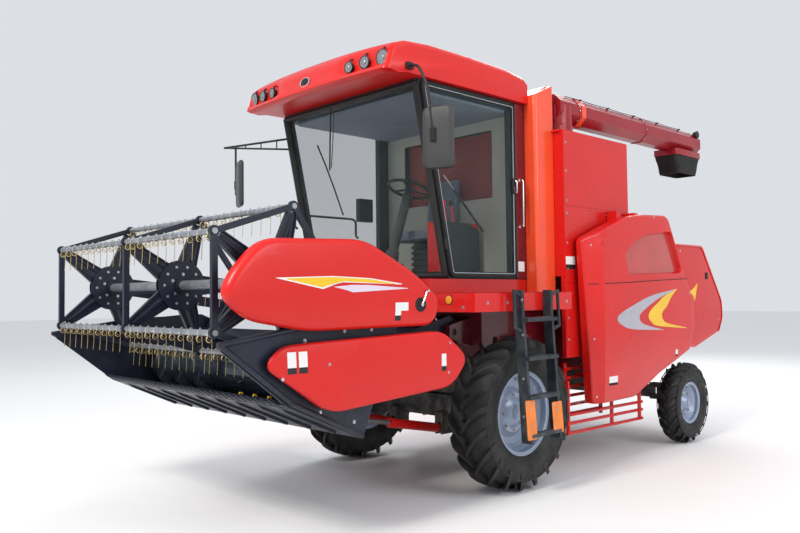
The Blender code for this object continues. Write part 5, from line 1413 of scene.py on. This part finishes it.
base = Piece(BLACK)
base.plate("Z", from_axle(rounded(rectangle(-0.205, 0.040, 0.205, 0.460), 0.03, 4), 1), 2.140, 2.158)
seat_plate(0.140, 0.140, 0.03, 1.832, 1.860)
base.plate("X", from_axle([(0.492, 2.150), (0.515, 2.150), (0.542, 2.600), (0.530, 2.600)]), -0.150, 0.150)
base.paint = GREY_PLASTIC
for z in [1.860 + 0.055 * k for k in range(5)]:  # bellows
    seat_plate(0.128, 0.132, 0.04, z, z + 0.028)
    seat_plate(0.112, 0.118, 0.04, z + 0.028, z + 0.055)
base.done("seat_base", "chassis", "black", bevel=0.003, angle=35)

# --- feeder bolts and carried nodes' shading
fittings = Piece(ZINC)
feeder_low, feeder_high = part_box("feeder_house")
for x, way in ((feeder_low.x, -1), (feeder_high.x, 1)):
    spots = [header_at(x - way * 0.001, y, 0.02) for y in (-0.25, -0.50, -0.75, -1.00)]
    fittings.bolts([p for p in spots if feeder_low.z < p.z < feeder_high.z], (way, 0, 0), 0.008, 0.005)
fittings.done("feeder_bolts", "header", "steel", angle=35)
EDGE_SPLIT_AT = radians(34)
for name in ("header_auger", "reel_arms", "header_trough", "feeder_house", "chassis_frame", "lower_guard_left",
             "lower_guard_right", "lift_cylinder_left", "lift_cylinder_right", "lift_rod_left", "lift_rod_right",
             "tie_rod", "steering_wheel", "steering_column", "steering_knuckle_left", "steering_knuckle_right",
             "front_axle", "unloading_base", "ladder"):
    for polygon in frame["nodes"][name].data.polygons:
        polygon.use_smooth = True
    frame["nodes"][name].modifiers.new("by_angle", "EDGE_SPLIT").split_angle = EDGE_SPLIT_AT

# --- floor, light and camera
studio = bpy.data.materials.new("studio_floor")
studio.use_nodes = True
ground = studio.node_tree.nodes["Principled BSDF"]
ground.inputs["Base Color"].default_value = (0.86, 0.86, 0.86, 1)
ground.inputs["Roughness"].default_value = 0.9
floor = Piece(studio)
floor.faces([(x, y, -0.001) for x, y in rectangle(-60, -60, 60, 60)], [(0, 1, 2, 3)])
floor.placed("studio_floor")

scene = bpy.context.scene
scene.world = bpy.data.worlds.new("studio")
scene.world.use_nodes = True
sky = scene.world.node_tree.nodes["Background"]
sky.inputs["Color"].default_value = (0.92, 0.95, 1.0, 1)
sky.inputs["Strength"].default_value = 0.78
scene.view_settings.view_transform = "Standard"


def lamp(name, place, aim, power, size, color):
    light = bpy.data.lights.new(name, "AREA")
    light.energy = power
    light.size = size
    light.color = color
    obj = bpy.data.objects.new(name, light)
    obj.location = place
    obj.rotation_euler = (Vector(aim) - Vector(place)).to_track_quat("-Z", "Y").to_euler()
    scene.collection.objects.link(obj)


lamp("key", (2.0, -11.0, 10.5), (0, -0.5, 1.5), 1150, 3.0, (1.0, 0.96, 0.90))
lamp("side", (10.0, 0.5, 6.0), (0.3, 0.8, 1.6), 330, 5.0, (0.96, 0.98, 1.0))
lamp("back", (-5.0, 9.0, 8.0), (0, 1.0, 2.0), 600, 6.0, (1.0, 1.0, 1.0))

# the photograph's viewing angle, lens and eye point
AZIMUTH, PITCH, ROLL = radians(45.808), radians(2.145), radians(0.656)
LENS_MM, SENSOR_MM, SHIFT_X = 35.10, 36, -0.0079
EYE = at(5.334, -5.232, 1.624)
ahead = Vector((-sin(AZIMUTH) * cos(PITCH), cos(AZIMUTH) * cos(PITCH), sin(PITCH)))
flat_right = Vector((cos(AZIMUTH), sin(AZIMUTH), 0))
flat_up = flat_right.cross(ahead)
right = flat_right * cos(ROLL) - flat_up * sin(ROLL)
up = flat_right * sin(ROLL) + flat_up * cos(ROLL)
camera_data = bpy.data.cameras.new("camera")
camera_data.lens = LENS_MM
camera_data.sensor_width = SENSOR_MM
camera_data.shift_x = SHIFT_X
camera_data.clip_end = 200
camera = bpy.data.objects.new("camera", camera_data)
turn = Matrix((right, up, -ahead)).transposed()
camera.matrix_world = Matrix.Translation(EYE) @ turn.to_4x4()
scene.collection.objects.link(camera)
scene.camera = camera
